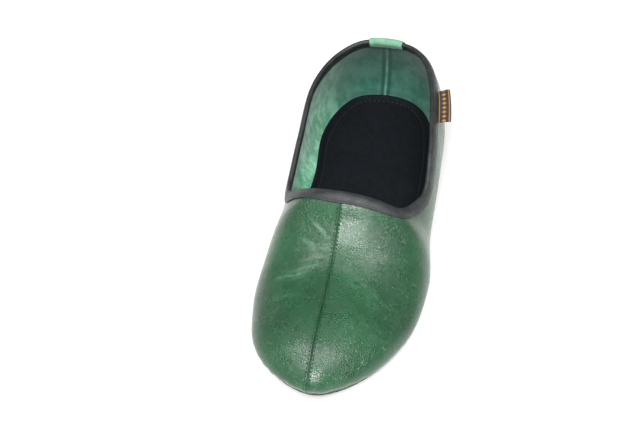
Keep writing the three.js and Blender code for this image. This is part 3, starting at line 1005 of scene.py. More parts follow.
@dataclass(frozen=True)
class WovenLabel:
    """Close-woven ribbon with a plain border and a row of small lozenges.

    The mesh carries the pattern's place as the UV map `weave`: u in millimetres along, v across.
    """

    name: str = "black_woven_ribbon"
    ground: str = "#151416"
    ground_light: str = "#2b292c"
    figure: str = "#a8752c"
    width: float = 8.0
    lozenge_pitch: float = 3.79
    border_at: float = 3.1

    def make(self) -> bpy.types.Material:
        """Builds the material.

        Returns:
            The material.
        """
        board = NodeBoard(self.name)
        place = board.add("ShaderNodeUVMap", uv_map="weave").outputs[0]
        parts = board.add("ShaderNodeSeparateXYZ", {0: place})
        u, v = parts.outputs[0], parts.outputs[1]
        rib = board.math("SINE", board.math("MULTIPLY", u, 2 * math.pi / 0.35))
        pick = board.math("SINE", board.math("MULTIPLY", v, 2 * math.pi / 0.3))
        weave = board.math("MULTIPLY", rib, pick)
        across = board.math("ABSOLUTE", board.math("SUBTRACT", v, self.width * 0.5))
        wave = board.math("PINGPONG", u, self.lozenge_pitch / 2)
        reach = board.math("ADD", across, wave)
        lozenge = board.spread(reach, 1.35, 1.55, 1.0, 0.0)
        from_border = board.math("ABSOLUTE", board.math("SUBTRACT", across, self.border_at))
        border = board.spread(from_border, 0.22, 0.34, 1.0, 0.0)
        figure = board.math("MAXIMUM", lozenge, border)
        ground = board.mix(board.spread(weave, -1.0, 1.0), self.ground, self.ground_light)
        body = board.mix(figure, ground, self.figure)
        relief = board.bump(weave, 0.06)
        return board.finish(Base_Color=body, Roughness=0.8, Normal=relief, Sheen_Weight=0.1)


@dataclass(frozen=True)
class PalePaper:
    """Plain pale studio floor."""

    name: str = "pale_floor"
    colour: str = "#f4f4f3"

    def make(self) -> bpy.types.Material:
        """Builds the material."""
        board = NodeBoard(self.name)
        return board.finish(Base_Color=linear(self.colour), Roughness=0.9, Specular_IOR_Level=0.1)


# Stitches


@dataclass(frozen=True)
class StitchSizes:
    """A row of stitches, in millimetres."""

    spacing: float = 2.5
    length: float = 1.9
    thickness: float = 0.55
    seed: int = 7


def round_the_shoe(halves: Sequence[Array]) -> Array:
    """Joins the rows of both sides into one that runs round the shoe."""
    return np.concatenate([halves[0], halves[1][::-1][1:]])


class StitchMaker:
    """Makes rows of stitches along paths with one geometry node tree."""

    def __init__(self) -> None:
        """Builds the node group that all rows share."""
        self.tree = bpy.data.node_groups.new("stitch_rows", "GeometryNodeTree")
        self.sockets: dict[str, str] = {}
        self._socket("Path", "NodeSocketGeometry")
        for name in ("Spacing", "Length", "Thickness"):
            self._socket(name, "NodeSocketFloat")
        self._socket("Seed", "NodeSocketInt")
        self._socket("Material", "NodeSocketMaterial")
        self.tree.interface.new_socket("Stitches", in_out="OUTPUT", socket_type="NodeSocketGeometry")
        self._fill()

    def _socket(self, name: str, kind: str) -> None:
        """Adds a named input."""
        socket = self.tree.interface.new_socket(name, in_out="INPUT", socket_type=kind)
        self.sockets[name] = socket.identifier

    def _node(self, kind: str, inputs: dict[Any, Any] | None = None, **settings: Any) -> bpy.types.Node:
        """Adds a node and its links."""
        return add_node(self.tree, kind, inputs, **settings)

    def _fill(self) -> None:
        """Builds the tree: a path, its points, a stitch on each."""
        given = self._node("NodeGroupInput").outputs
        curve = self._node("GeometryNodeMeshToCurve", {"Mesh": given["Path"]})
        spaced = {"Curve": curve.outputs[0], "Length": given["Spacing"]}
        points = self._node("GeometryNodeResampleCurve", spaced, mode="LENGTH")
        ball = self._node("GeometryNodeMeshUVSphere", {"Segments": 8, "Rings": 6, "Radius": 0.5})
        round_ball = self._node("GeometryNodeSetShadeSmooth", {"Geometry": ball.outputs["Mesh"]})
        size = {"X": given["Length"], "Y": given["Thickness"], "Z": given["Thickness"]}
        scale = self._node("ShaderNodeCombineXYZ", size)
        shaped = {"Geometry": round_ball.outputs[0], "Scale": scale.outputs[0]}
        stitch = self._node("GeometryNodeTransform", shaped)
        tangent = self._node("GeometryNodeInputTangent")
        facing = {"Vector": tangent.outputs[0]}
        turn = self._node("FunctionNodeAlignRotationToVector", facing, axis="X")
        vary = self._node("FunctionNodeRandomValue", {"Seed": given["Seed"]}, data_type="FLOAT")
        vary.inputs[2].default_value = 0.86
        vary.inputs[3].default_value = 1.06
        rows = self._node(
            "GeometryNodeInstanceOnPoints",
            {
                "Points": points.outputs[0],
                "Instance": stitch.outputs[0],
                "Rotation": turn.outputs[0],
                "Scale": vary.outputs[1],
            },
        )
        real = self._node("GeometryNodeRealizeInstances", {"Geometry": rows.outputs[0]})
        dressed = {"Geometry": real.outputs[0], "Material": given["Material"]}
        done = self._node("GeometryNodeSetMaterial", dressed)
        self._node("NodeGroupOutput", {0: done.outputs[0]})

    def make(
        self, name: str, paths: Sequence[Array], sizes: StitchSizes, material: bpy.types.Material
    ) -> bpy.types.Object:
        """Lays rows of stitches.

        Args:
            name: name of the piece.
            paths: each row's points, in millimetres.
            sizes: the stitches' sizes.
            material: the thread.
        Returns:
            One plain mesh object with all the rows.
        """
        points, edges, first = [], [], 0
        for path in paths:
            points += (path * MM).tolist()
            edges += [(first + i, first + i + 1) for i in range(len(path) - 1)]
            first += len(path)
        mesh = bpy.data.meshes.new(name + "_path")
        mesh.from_pydata(points, edges, [])
        carrier = add_object(name + "_path", mesh)
        modifier = carrier.modifiers.new("stitches", "NODES")
        modifier.node_group = self.tree
        given = {
            "Spacing": sizes.spacing * MM,
            "Length": sizes.length * MM,
            "Thickness": sizes.thickness * MM,
            "Seed": sizes.seed,
            "Material": material,
        }
        for key, value in given.items():
            modifier[self.sockets[key]] = value
        bpy.context.view_layer.update()
        graph = bpy.context.evaluated_depsgraph_get()
        result = bpy.data.meshes.new_from_object(carrier.evaluated_get(graph))
        result.name = name
        bpy.data.objects.remove(carrier)
        return add_object(name, result)


# Pieces of the slipper


@dataclass(frozen=True)
class Crease:
    """A soft trough on the vamp, with a ridge on its toe side.

    Stations are (along, across) shares from one end to the other.
    """

    stations: tuple[tuple[float, float], ...]
    depth: float
    width: float
    ridge: float = 0.7
    # How much paler the toe-side ridge is painted: part wear, part painted highlight
    wear_and_highlight: float = 0.0


@dataclass(frozen=True)
class UpperLooks:
    """What the solid upper leaves out: its seam, its creases and its soft unevenness."""

    seam_gap: float = 0.34
    seam_depth: float = 0.65
    seam_puff: float = 0.3
    puff_offset: float = 1.1
    puff_width: float = 0.8
    row_offset: float = 1.3
    row_depth: float = 0.22
    row_width: float = 0.4
    row_rise: float = 0.26
    back_puff: float = 0.2
    back_depth: float = 0.6
    unevenness: float = 0.45
    gather_depth: float = 0.22
    gather_pitch: float = 6.5
    gather_radius: float = 60.0
    lining_ridge: float = 0.9
    lining_groove: float = 0.4
    lining_swell: float = 0.3
    lining_follow: float = 0.7
    roll_height: float = 1.5
    roll_width: float = 2.2
    roll_above_rim: float = 2.6
    roll_pucker: float = 0.35
    creases: tuple[Crease, ...] = (
        Crease(((0.245, -0.36), (0.25, -0.24), (0.262, -0.14)), 0.8, 1.5, 0.9, 0.9),
        Crease(((0.27, -0.25), (0.28, -0.15), (0.285, -0.09)), 0.5, 1.3, 0.8, 0.5),
        Crease(((0.33, -0.24), (0.31, -0.14), (0.3, -0.08)), 0.4, 1.4, 0.7, 0.3),
        Crease(((0.36, -0.2), (0.34, -0.12), (0.325, -0.08)), 0.35, 1.3, 0.7, 0.3),
        Crease(((0.27, 0.02), (0.235, 0.16), (0.2, 0.3)), 0.5, 2.4, 0.5, 0.25),
        Crease(((0.2, -0.36), (0.2, -0.24), (0.205, -0.14)), 0.35, 2.2, 0.5, 0.2),
    )


class Upper:
    """The hollow leather wall: green grain leather outside, suede inside."""

    rows_up = 64
    rows_down = 9
    crease_steps = 41
    seam_steps = 150
    back_steps = 60

    def __init__(self, form: ShoeForm, turns: TurnPlan, looks: UpperLooks) -> None:
        """Takes what the wall is built from.

        Args:
            form: the shoe's form.
            turns: where the ribs stand.
            looks: what the solid leaves out.
        """
        self.form, self.turns, self.looks = form, turns, looks

    def _climbs(self, side: Array, turns: Array) -> Array:
        """Climb of each point, from the top of each rib to its lower edge."""
        top = self.form.edge_climb(side, turns)[:, None]
        up = top * (1 - (np.arange(self.rows_up) / self.rows_up) ** 1.6)
        down = -np.arange(self.rows_down + 1) / self.rows_down
        return np.concatenate([up, np.broadcast_to(down, (len(turns), len(down)))], 1)

    def _edge_distance(self, points: Array) -> Array:
        """Distance of each point from the collar's edge.

        Args:
            points: points of the wall.
        Returns:
            The distance in millimetres.
        """
        collar = self.turns.collar
        sides = [self.form.skin(s, collar, self.form.edge_climb(s, collar)) for s in (1, -1)]
        edge = np.concatenate(sides)
        tree = KDTree(len(edge))
        for i, point in enumerate(edge.tolist()):
            tree.insert(point, i)
        tree.balance()
        flat = points.reshape(-1, 3)
        return np.array([tree.find(p)[2] for p in flat.tolist()]).reshape(points.shape[:2])

    def _crease(self, points: Array, normals: Array, crease: Crease) -> tuple[Array, Array]:
        """Works out one crease.

        Args:
            points: points of the wall.
            normals: directions out of it.
            crease: the crease.
        Returns:
            Height at each point, and how much paler its toe-side ridge is painted, part wear and part
            painted highlight.
        """
        stations = np.array(crease.stations)
        place = np.linspace(0, len(stations) - 1, self.crease_steps)
        row = np.minimum(place.astype(int), len(stations) - 2)
        t = (place - row)[:, None]
        tangents = np.gradient(stations, axis=0)
        path = hermite(stations[row], stations[row + 1], tangents[row], tangents[row + 1], t)
        y = self.form.y_at(path[:, 0])
        x = path[:, 1] * self.form.s.ball_width
        line = self.form.skin(*self.form.over_plan(x, y))
        run = unit(np.gradient(line, axis=0))
        away = points[:, None, :] - line[None]
        gap = np.linalg.norm(away, axis=-1)
        near = gap.argmin(1)
        rows = np.arange(len(points))
        offset = away[rows, near]
        cross = np.cross(run[near], offset)
        signed = np.sign(dot(cross, normals)) * gap[rows, near]
        toe_side = -signed * np.sign(run[near][:, 0] + 1e-9)
        fade = np.sin(math.pi * near / (len(line) - 1)) ** 0.7
        trough = hump(gap[rows, near], crease.width)
        ridge = hump(toe_side - 1.7 * crease.width, crease.width)
        height = crease.depth * fade * (crease.ridge * ridge - trough)
        # Paler toe-side ridge: part wear, part painted highlight
        ridge_wear_highlight = hump(toe_side - 0.9 * crease.width, 0.8 * crease.width)
        return height, crease.wear_and_highlight * fade * ridge_wear_highlight

    def _relief(self, points: Array, normals: Array, edge: Array) -> tuple[Array, Array, Array]:
        """Works out what the outer face has beyond the plain form.

        Args:
            points: points of the plain form.
            normals: directions out of it.
            edge: distance of each point from the collar's edge.
        Returns:
            Height of the seams, height of the wall's own bends, and how much paler the crease ridges
            are painted, part wear and part painted highlight.
        """
        form, looks, s = self.form, self.looks, self.form.s
        x, y, z = np.moveaxis(points, -1, 0)
        ahead = smoothstep(-form.along_at(y), -THROAT_ALONG - 0.03, -THROAT_ALONG)
        off = np.abs(x - form.seam_x(y))
        front = looks.seam_puff * hump(off - looks.puff_offset, looks.puff_width)
        front = front - looks.seam_depth * hump(off, looks.seam_gap)
        front = front - looks.row_depth * hump(off - looks.row_offset, looks.row_width)
        off_back = np.abs(x - form.seam_x(form.y_at(1.0)))
        back = looks.back_puff * hump(off_back - looks.puff_offset, looks.puff_width)
        back = back - looks.back_depth * hump(off_back, looks.seam_gap)
        seam = ahead * front + smoothstep(form.along_at(y), 0.95, 0.97) * back
        broad = np.sin(x / 13.0 + y / 17.0) * np.sin(y / 11.0 - z / 9.0)
        bend = looks.unevenness * (0.5 * broad + 0.25 * np.sin(x / 7.3 - y / 23.0 + z / 8.0))
        low = z - form.lift(y) - s.feather_height
        around = np.arctan2(y - form.y_at(0.3), x) * looks.gather_radius
        gather = np.sin(2 * math.pi * around / looks.gather_pitch + 1.5 * np.sin(around / 9.0))
        gather = looks.gather_depth * gather * hump(low - 2.0, 3.0)
        bend = bend + gather * smoothstep(-y, 60.0, 100.0)
        wear_and_highlight = np.zeros_like(bend)
        flat_points, flat_normals = points.reshape(-1, 3), normals.reshape(-1, 3)
        for crease in looks.creases:
            height, wear_highlight = self._crease(flat_points, flat_normals, crease)
            bend = bend + height.reshape(bend.shape)
            wear_and_highlight = np.maximum(wear_and_highlight, wear_highlight.reshape(bend.shape))
        free = smoothstep(edge, s.binding_depth - 1.5, s.binding_depth + 5.0)
        free = free * smoothstep(low, 0.0, 2.5)
        return seam * smoothstep(edge, 2.0, 6.0), bend * free, wear_and_highlight * free

    def _lining(self, inside: Array, edge: Array) -> tuple[Array, Array]:
        """Works out the lining's own relief.

        Args:
            inside: points of the wall's plain inner face.
            edge: distance of each point from the collar's edge.
        Returns:
            Height into the shoe, and how much painted shade the suede gets: darker toward the heel,
            partly the suede's own darker tone, with painted shade beside the back seam and a painted
            highlight on its ridge.
        """
        form, looks, s = self.form, self.looks, self.form.s
        x, y, z = np.moveaxis(inside, -1, 0)
        along = form.along_at(y)
        rear = smoothstep(along, 0.9, 0.96)
        off = np.abs(x - form.seam_x(form.y_at(1.0)))
        ridge = looks.lining_ridge * hump(off, 1.2) - looks.lining_groove * hump(off - 2.2, 0.6)
        rim = s.insole_base + s.insole_thickness + s.insole_rim_rise
        above = z - form.lift(y) - rim - looks.roll_above_rim
        pucker = 1 + looks.roll_pucker * np.sin(x / 2.3) * np.sin(x / 5.1 + 1.0)
        roll = smoothstep(along, 0.84, 0.93) * looks.roll_height * pucker
        swell = looks.lining_swell * np.sin(y / 9.0 + z / 6.0) * np.sin(z / 7.0 + x / 10.0)
        clear = smoothstep(edge, s.binding_depth + 0.5, s.binding_depth + 5.0)
        clear = clear * smoothstep(above, -3.2, -1.0)
        # Painted shade beside the back seam's ridge, and a painted highlight on the ridge itself
        seam_painted_shade = hump(off - 2.0, 0.8) - 0.6 * hump(off, 0.8)
        # Painted shade toward the heel, partly the suede's own darker tone
        dark = clamp(smoothstep(along, 0.78, 0.97) * 0.85 + 0.5 * rear * seam_painted_shade, 0, 1)
        return (rear * ridge + roll * hump(above, looks.roll_width) + swell) * clear, dark

    def make(self, leather: bpy.types.Material, suede: bpy.types.Material) -> bpy.types.Object:
        """Builds the wall.

        Args:
            leather: the outer face.
            suede: the lining and the edges.
        Returns:
            The piece.
        """
        draft = MeshDraft()
        form, s = self.form, self.form.s
        turns = self.turns.all
        opening = turns <= form.throat_turn + 1e-12
        for side in (1, -1):
            sides = TurnPlan.sides(turns, side)[:, None]
            climbs = self._climbs(sides[:, 0], turns)
            base = form.skin(sides, turns[:, None], climbs)
            normals = form.normal(sides, turns[:, None], climbs)
            edge = self._edge_distance(base)
            full = smoothstep(edge, s.binding_depth, s.binding_depth + s.skive_run)
            wall = lerp(s.skived_wall, s.wall, full)
            seam, bend, wear_and_highlight = self._relief(base, normals, edge)
            outer = base + normals * (seam + bend)[..., None]
            inside = base - normals * wall[..., None]
            raised, dark = self._lining(inside, edge)
            inner = inside + normals * (bend * self.looks.lining_follow - raised)[..., None]
            # The outer face carries its paler crease ridges, part wear and part painted highlight, in
            # the `shade` attribute
            draft.add(outer, 0, wear_and_highlight)
            # The lining carries its painted shade in the `shade` attribute
            draft.add(inner, 1, dark)
            draft.add(np.stack([outer[:, -1], inner[:, -1]], 1), 1)
            draft.add(np.stack([outer[opening, 0], inner[opening, 0]], 1), 1)
        piece = draft.make("upper_wall", [leather, suede])
        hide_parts("upper")
        return piece

    def seam_rows(self) -> list[Array]:
        """Stitch rows beside the centre seam, from the binding to the toe.

        Returns:
            One row of points for each side.
        """
        form, rows = self.form, []
        for side in (1, -1):
            share = 1 - (1 - np.linspace(0, 1, self.seam_steps)) ** 1.5
            y = lerp(form.y_at(THROAT_ALONG) - 7.5, form.y_at(0.0) + 0.3, share)
            x = form.seam_x(y) + side * self.looks.row_offset
            place = form.over_plan(x, y)
            rows.append(form.skin(*place) + form.normal(*place) * self.looks.row_rise)
        return rows

    def back_rows(self) -> list[Array]:
        """Stitch rows beside the back seam, outside.

        Returns:
            One row of points for each side.
        """
        form, rows = self.form, []
        climb = np.linspace(float(form.edge_climb(1, -1.0)) * 0.72, -0.8, self.back_steps)
        turn = -1 + self.looks.row_offset / float(form.ribs(1, -1.0).reach) / (math.pi / 2)
        for side in (1, -1):
            rows.append(form.skin(side, turn, climb) + form.normal(side, turn, climb) * 0.05)
        return rows


def fold(middle: Array, out: Array, down: Array, radius: float, count: int) -> list[Array]:
    """Half a turn over an edge.

    Args:
        middle: middle of the turn.
        out: direction in which it starts.
        down: direction away from its top.
        radius: its radius.
        count: how many points lie between its ends.
    Returns:
        The points between its ends.
    """
    angles = np.linspace(0, math.pi, count + 2)[1:-1]
    return [middle + (out * math.cos(a) - down * math.sin(a)) * radius for a in angles]


@dataclass(frozen=True)
class BindingLooks:
    """The strip over the collar's edge."""

    leaf: float = 0.85
    ease: float = 0.15
    puff: float = 0.3
    row_depth: float = 5.5
    row_pull: float = 0.22
    row_width: float = 0.45
    row_sink: float = 0.06
    tip_reach: float = 0.3


class Binding:
    """Black leather folded over the collar's edge."""

    def __init__(self, form: ShoeForm, turns: TurnPlan, looks: BindingLooks) -> None:
        """Takes what the strip is built from.

        Args:
            form: the shoe's form.
            turns: where the ribs stand.
            looks: its thickness and its row of stitches.
        """
        self.form, self.turns, self.looks = form, turns, looks
        self.depths = np.linspace(0, form.s.binding_depth, 15)

    def height(self, depth: Array | float) -> Array:
        """Height of the strip's face off the wall.

        Args:
            depth: distance down from the edge.
        Returns:
            Millimetres off the wall.
        """
        looks = self.looks
        past = np.asarray(depth) - looks.row_depth
        rest = self.form.s.binding_depth - looks.row_depth
        puff = np.sin(math.pi * clamp(np.asarray(depth) / looks.row_depth, 0, 1))
        tail = 0.4 * np.sin(math.pi * clamp(past / rest, 0, 1))
        pull = looks.row_pull * hump(past, looks.row_width)
        return looks.ease + looks.leaf + looks.puff * (puff + tail) - pull

    def _section(self, side: float, turns: Array) -> Array:
        """Ring of points round the strip, for each rib.

        Args:
            side: 1 on the outer side, -1 on the inner side.
            turns: turns of the ribs.
        Returns:
            The points, ribs by ring.
        """
        wall, looks = self.form.s.skived_wall, self.looks
        feet = self.form.down_from_edge(side, turns, self.depths)
        far = self.height(self.depths)
        near = np.full(len(self.depths), looks.ease)
        outer, outer_near, inner, inner_near = (
            [f.point + f.normal * (out * (start + h)) for f, h in zip(feet, heights)]
            for out, start in ((1, 0.0), (-1, wall))
            for heights in (far, near)
        )
        edge = feet[0]
        middle = edge.point - edge.normal * (wall / 2)

        over = fold(middle, edge.normal, edge.down, wall / 2 + float(far[0]), 9)
        under = fold(middle, edge.normal, edge.down, wall / 2 + looks.ease, 5)
        last = feet[-1]
        tip_out = outer[-1] - last.normal * looks.leaf / 2 + last.down * looks.tip_reach
        tip_in = inner[-1] + last.normal * looks.leaf / 2 + last.down * looks.tip_reach
        ring = outer[::-1] + over + inner + [tip_in]
        ring += inner_near[::-1] + under[::-1] + outer_near + [tip_out]
        return np.stack(ring + ring[:1], 1)

    def make(self, leather: bpy.types.Material) -> bpy.types.Object:
        """Builds the strip.

        Args:
            leather: its material.
        Returns:
            The piece.
        """
        draft = MeshDraft()
        for side in (1, -1):
            draft.add(self._section(side, self.turns.collar))
        piece = draft.make("binding_strip", [leather])
        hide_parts("collar_binding")
        return piece

    def rows(self) -> list[Array]:
        """Stitch rows along the strip, outside and inside.

        Returns:
            A row for each face, all round the shoe.
        """
        rows = []
        height = float(self.height(self.looks.row_depth)) - self.looks.row_sink
        for outside in (True, False):
            halves = []
            for side in (1, -1):
                depths = [self.looks.row_depth]
                foot = self.form.down_from_edge(side, self.turns.collar, depths)[0]
                shift = height if outside else -(height + self.form.s.skived_wall)
                halves.append(foot.point + foot.normal * shift)
            rows.append(round_the_shoe(halves))
        return rows


@dataclass(frozen=True)
class TabLooks:
    """The suede strip folded over the binding at the centre back."""

    width: float = 33.0
    leaf: float = 0.85
    inner_depth: float = 5.0
    outer_depth: float = 16.0
    corner_rise: float = 1.6
    inner_rise: float = 3.0
    ease: float = 0.2
    rest_height: float = 0.25
    thinning: tuple[float, float, float] = (0.93, 0.5, 0.45)


class HeelTab:
    """Light green suede folded over the binding."""

    steps_round = 20
    steps_down = 17

    def __init__(self, form: ShoeForm, looks: TabLooks, binding: Binding) -> None:
        """Takes what the tab is built from.

        Args:
            form: the shoe's form.
            looks: its outline and thickness.
            binding: the strip below it.
        """
        self.form, self.looks, self.binding = form, looks, binding

    def _base(self, depth: Array) -> Array:
        """Height of the tab's underside off the wall, over the binding and below it."""
        edge = self.form.s.binding_depth
        over = self.binding.height(clamp(depth, 0, edge)) + self.looks.ease
        return lerp(over, self.looks.rest_height, smoothstep(depth, edge + 0.2, edge + 1.8))

    def _ring(self, side: int, turn: float, share: float) -> Array:
        """Ring of points round the strip at one rib.

        Args:
            side: 1 on the outer side, -1 on the inner side.
            turn: the rib's turn.
            share: 0 at the centre back, 1 at the strip's end.
        Returns:
            The points: up the outside, over the edge, down the inside and back underneath.
        """
        looks, wall = self.looks, self.form.s.skived_wall
        steps = np.linspace(0, 1, self.steps_down)
        begin, at_edges, at_ends = looks.thinning
        leaf = looks.leaf * (1 - at_edges * smoothstep(steps, begin, 1.0))
        leaf = leaf * (1 - at_ends * smoothstep(share, begin, 1.0))
        ends = (
            (1, 0.0, looks.outer_depth - looks.corner_rise * share**2.5),
            (-1, wall, looks.inner_depth - looks.inner_rise * share**2),
        )
        faces = []
        for out, start, end in ends:
            feet = self.form.down_from_edge(side, np.array([turn]), steps * end)
            under = start + self._base(steps * end)
            for heights in (under + leaf, under):
                points = [f.point[0] + f.normal[0] * out * h for f, h in zip(feet, heights)]
                faces.append(np.stack(points))
        outer, outer_under, inner, inner_under = faces
        normal, down = feet[0].normal[0], feet[0].down[0]
        middle = feet[0].point[0] - normal * wall / 2
        radius = wall / 2 + float(self._base(np.array(0.0)))
        over = np.stack(fold(middle, normal, down, radius + leaf[0], 11))
        under = np.stack(fold(middle, normal, down, radius, 11))
        above, below = [outer[::-1], over, inner], [inner_under[::-1], under[::-1], outer_under]
        return np.concatenate(above + below)

    def make(self, suede: bpy.types.Material) -> bpy.types.Object:
        """Builds the tab.

        Args:
            suede: its material.
        Returns:
            The piece.
        """
        reach = float(self.form.ribs(1, -1.0).reach)
        half = self.looks.width / 2 / (reach * math.pi / 2)
        shares = np.linspace(0, 1, self.steps_round + 1)
        left, right = (
            np.stack([self._ring(side, -1 + half * share, share) for share in shares])
            for side in (-1, 1)
        )
        grid = np.concatenate([left[::-1], right[1:]])
        draft = MeshDraft()
        draft.close(grid)
        piece = draft.make("heel_tab_suede", [suede])
        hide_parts("heel_tab")
        return piece


@dataclass(frozen=True)
class LabelLooks:
    """The small woven flag at the outer side."""

    length: float = 26.5
    reach: float = 8.0
    thickness: float = 0.9
    droop: float = 1.5
    along: float = 0.757
    ripple: float = 0.35


class SideLabel:
    """A folded woven ribbon that stands out of the wall under the binding."""

    def __init__(self, form: ShoeForm, looks: LabelLooks) -> None:
        """Takes what the flag is built from.

        Args:
            form: the shoe's form.
            looks: its place and outline.
        """
        self.form, self.looks = form, looks

    def make(self, ribbon: bpy.types.Material) -> bpy.types.Object:
        """Builds the flag.

        Args:
            ribbon: its material.
        Returns:
            The piece.
        """
        form, looks, s = self.form, self.looks, self.form.s
        middle = form.turn_at(looks.along)
        around = form.slopes(1, np.array([middle]), form.edge_climb(1, np.array([middle])))[1]
        half = looks.length / 2 / float(np.linalg.norm(around))
        across = np.linspace(0, 1, 11)
        along = np.linspace(-1, 1, 27)
        depth = s.binding_depth + 2 * s.clearance + 1.0
        foot = form.down_from_edge(1, middle + half * along, [depth])[0]
        root = foot.point + foot.normal * s.clearance
        wave = looks.ripple * np.sin(2.2 * along + 0.6)[:, None]
        rows = []
        for share in across:
            fall = looks.droop * share**1.6 + wave * share
            rows.append(root + foot.normal * (looks.reach * share) + foot.down * fall)
        under = np.stack(rows, 1)
        thick = looks.thickness * np.sqrt(np.maximum(0.0, 1 - across**14)) * 0.92 + 0.08
        over = under - foot.down[:, None, :] * thick[None, :, None]
        grid = np.concatenate([under, over[:, ::-1]], 1)
        draft = MeshDraft()
        draft.close(grid)
        piece = draft.make("woven_flag", [ribbon])
        self._map(piece, root, foot)
        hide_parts("side_label")
        return piece

    def _map(self, piece: bpy.types.Object, root: Array, foot: Foot) -> None:
        """Gives the flag its weave map: millimetres along the collar and out from the wall.

        Args:
            piece: the flag.
            root: its row of points at the wall.
            foot: the directions there.
        """
        points = np.array([v.co for v in piece.data.vertices]) / MM
        near = np.linalg.norm(points[:, None, :] - root[None], axis=-1).argmin(1)
        out = dot(points - root[near], foot.normal[near])
        run = root[-1] - root[0]
        u = (points - root[0]) @ (run / np.linalg.norm(run))
        layer = piece.data.uv_layers.new(name="weave")
        for loop in piece.data.loops:
            layer.data[loop.index].uv = (u[loop.vertex_index], out[loop.vertex_index])


@dataclass(frozen=True)
class FootbedLooks:
    """What the solid insole leaves out: the pressed bed, its groove and its rounded rim."""

    heel_sink: float = 0.9
    ball_sink: float = 0.7
    groove_depth: float = 0.5
    groove_inset: float = 1.2
    groove_width: float = 0.6
    rim_rounding: float = 0.8
    stitch_sink: float = 0.42


class Footbed:
    """The black insole with its padded rim."""

    def __init__(self, form: ShoeForm, turns: TurnPlan, looks: FootbedLooks) -> None:
        """Takes what the bed is built from.

        Args:
            form: the shoe's form.
            turns: where the ribs stand.
            looks: what the solid leaves out.
        """
        self.form, self.turns, self.looks = form, turns, looks

    def _profile(self, side: int) -> tuple[Ribs, Array, float, float]:
        """Ribs, the rim's plan distance, and the heights of bed and rim.

        Args:
            side: 1 on the outer side, -1 on the inner side.
        Returns:
            The four, for that side.
        """
        s, form = self.form.s, self.form
        turns = self.turns.all
        sides = TurnPlan.sides(turns, side)
        rib = form.ribs(sides, turns)
        bed = s.insole_base + s.insole_thickness
        rim_top = bed + s.insole_rim_rise
        rim = form.inner_reach(sides, turns, rim_top) - s.insole_ease
        return rib, rim, bed, rim_top

    def _bed_sink(self, points: Array) -> Array:
        """How far the foot has pressed the bed down.

        Args:
            points: points of the bed.
        Returns:
            Millimetres below the plain bed.
        """
        along = self.form.along_at(points[..., 1])
        x = points[..., 0] / self.form.s.ball_width
        heel = self.looks.heel_sink * hump(along - 0.87, 0.09) * hump(x, 0.3)
        ball = self.looks.ball_sink * hump(along - 0.33, 0.1) * hump(x, 0.36)
        return heel + ball

    def make(self, leather: bpy.types.Material) -> bpy.types.Object:
        """Builds the footbed.

        Args:
            leather: its material.
        Returns:
            The piece.
        """
        form, looks, s = self.form, self.looks, self.form.s
        draft = MeshDraft()
        for side in (1, -1):
            rib, rim, bed, rim_top = self._profile(side)
            bed_edge = rim - s.insole_rim_width - s.insole_rim_slope
            foot = rib.reach - rib.inset + s.rand_proud - s.rand_width - s.clearance
            columns = []
            for share in np.linspace(0, 1, 25) ** 0.85:
                reach = bed_edge * share
                point = self.form.raised(rib, reach, bed)
                groove = hump(bed_edge - reach - looks.groove_inset, looks.groove_width)
                sink = self._bed_sink(point) * smoothstep(1 - share, 0.0, 0.15)
                point[:, 2] -= sink + looks.groove_depth * groove
                columns.append(point)
            for share in np.linspace(0, 1, 6)[1:]:
                reach = bed_edge + s.insole_rim_slope * share
                height = lerp(bed, rim_top, smoothstep(share, 0, 1))
                columns.append(form.raised(rib, reach, height))
            start = rim - s.insole_rim_width
            for angle in np.linspace(0, math.pi / 2, 6)[1:]:
                reach = start + s.insole_rim_width * math.sin(angle)
                height = rim_top - looks.rim_rounding * (1 - math.cos(angle))
                columns.append(form.raised(rib, reach, height))
            columns.append(self.form.raised(rib, foot, s.feather_height + s.wall))
            columns.append(self.form.raised(rib, foot, s.insole_base))
            for share in np.linspace(0, 1, 9)[::-1][1:]:
                columns.append(self.form.raised(rib, foot * share, s.insole_base))
            draft.add(np.stack(columns, 1))
        piece = draft.make("footbed_pad", [leather])
        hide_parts("insole")
        return piece

    def rows(self) -> list[Array]:
        """The stitch row inside the rim.

        Returns:
            One row, all round the bed.
        """
        s, halves = self.form.s, []
        for side in (1, -1):
            rib, rim, bed, _ = self._profile(side)
            reach = rim - s.insole_rim_width - s.insole_rim_slope - self.looks.groove_inset
            point = self.form.raised(rib, reach, bed)
            halves.append(point - np.array([0, 0, self.looks.stitch_sink]))
        return [round_the_shoe(halves)]


@dataclass(frozen=True)
class BottomLooks:
    """Rounded edges of rand and outsole, and the stitch channel under the sole."""

    rand_rounding: float = 0.9
    edge_swell: float = 0.15
    bevel: float = 0.6
    channel: tuple[tuple[float, float], ...] = (
        (3.4, 0.0), (3.8, 0.35), (4.4, 0.5), (5.0, 0.35), (5.4, 0.0),
    )
    stitch_inset: float = 4.4
    stitch_height: float = 0.42


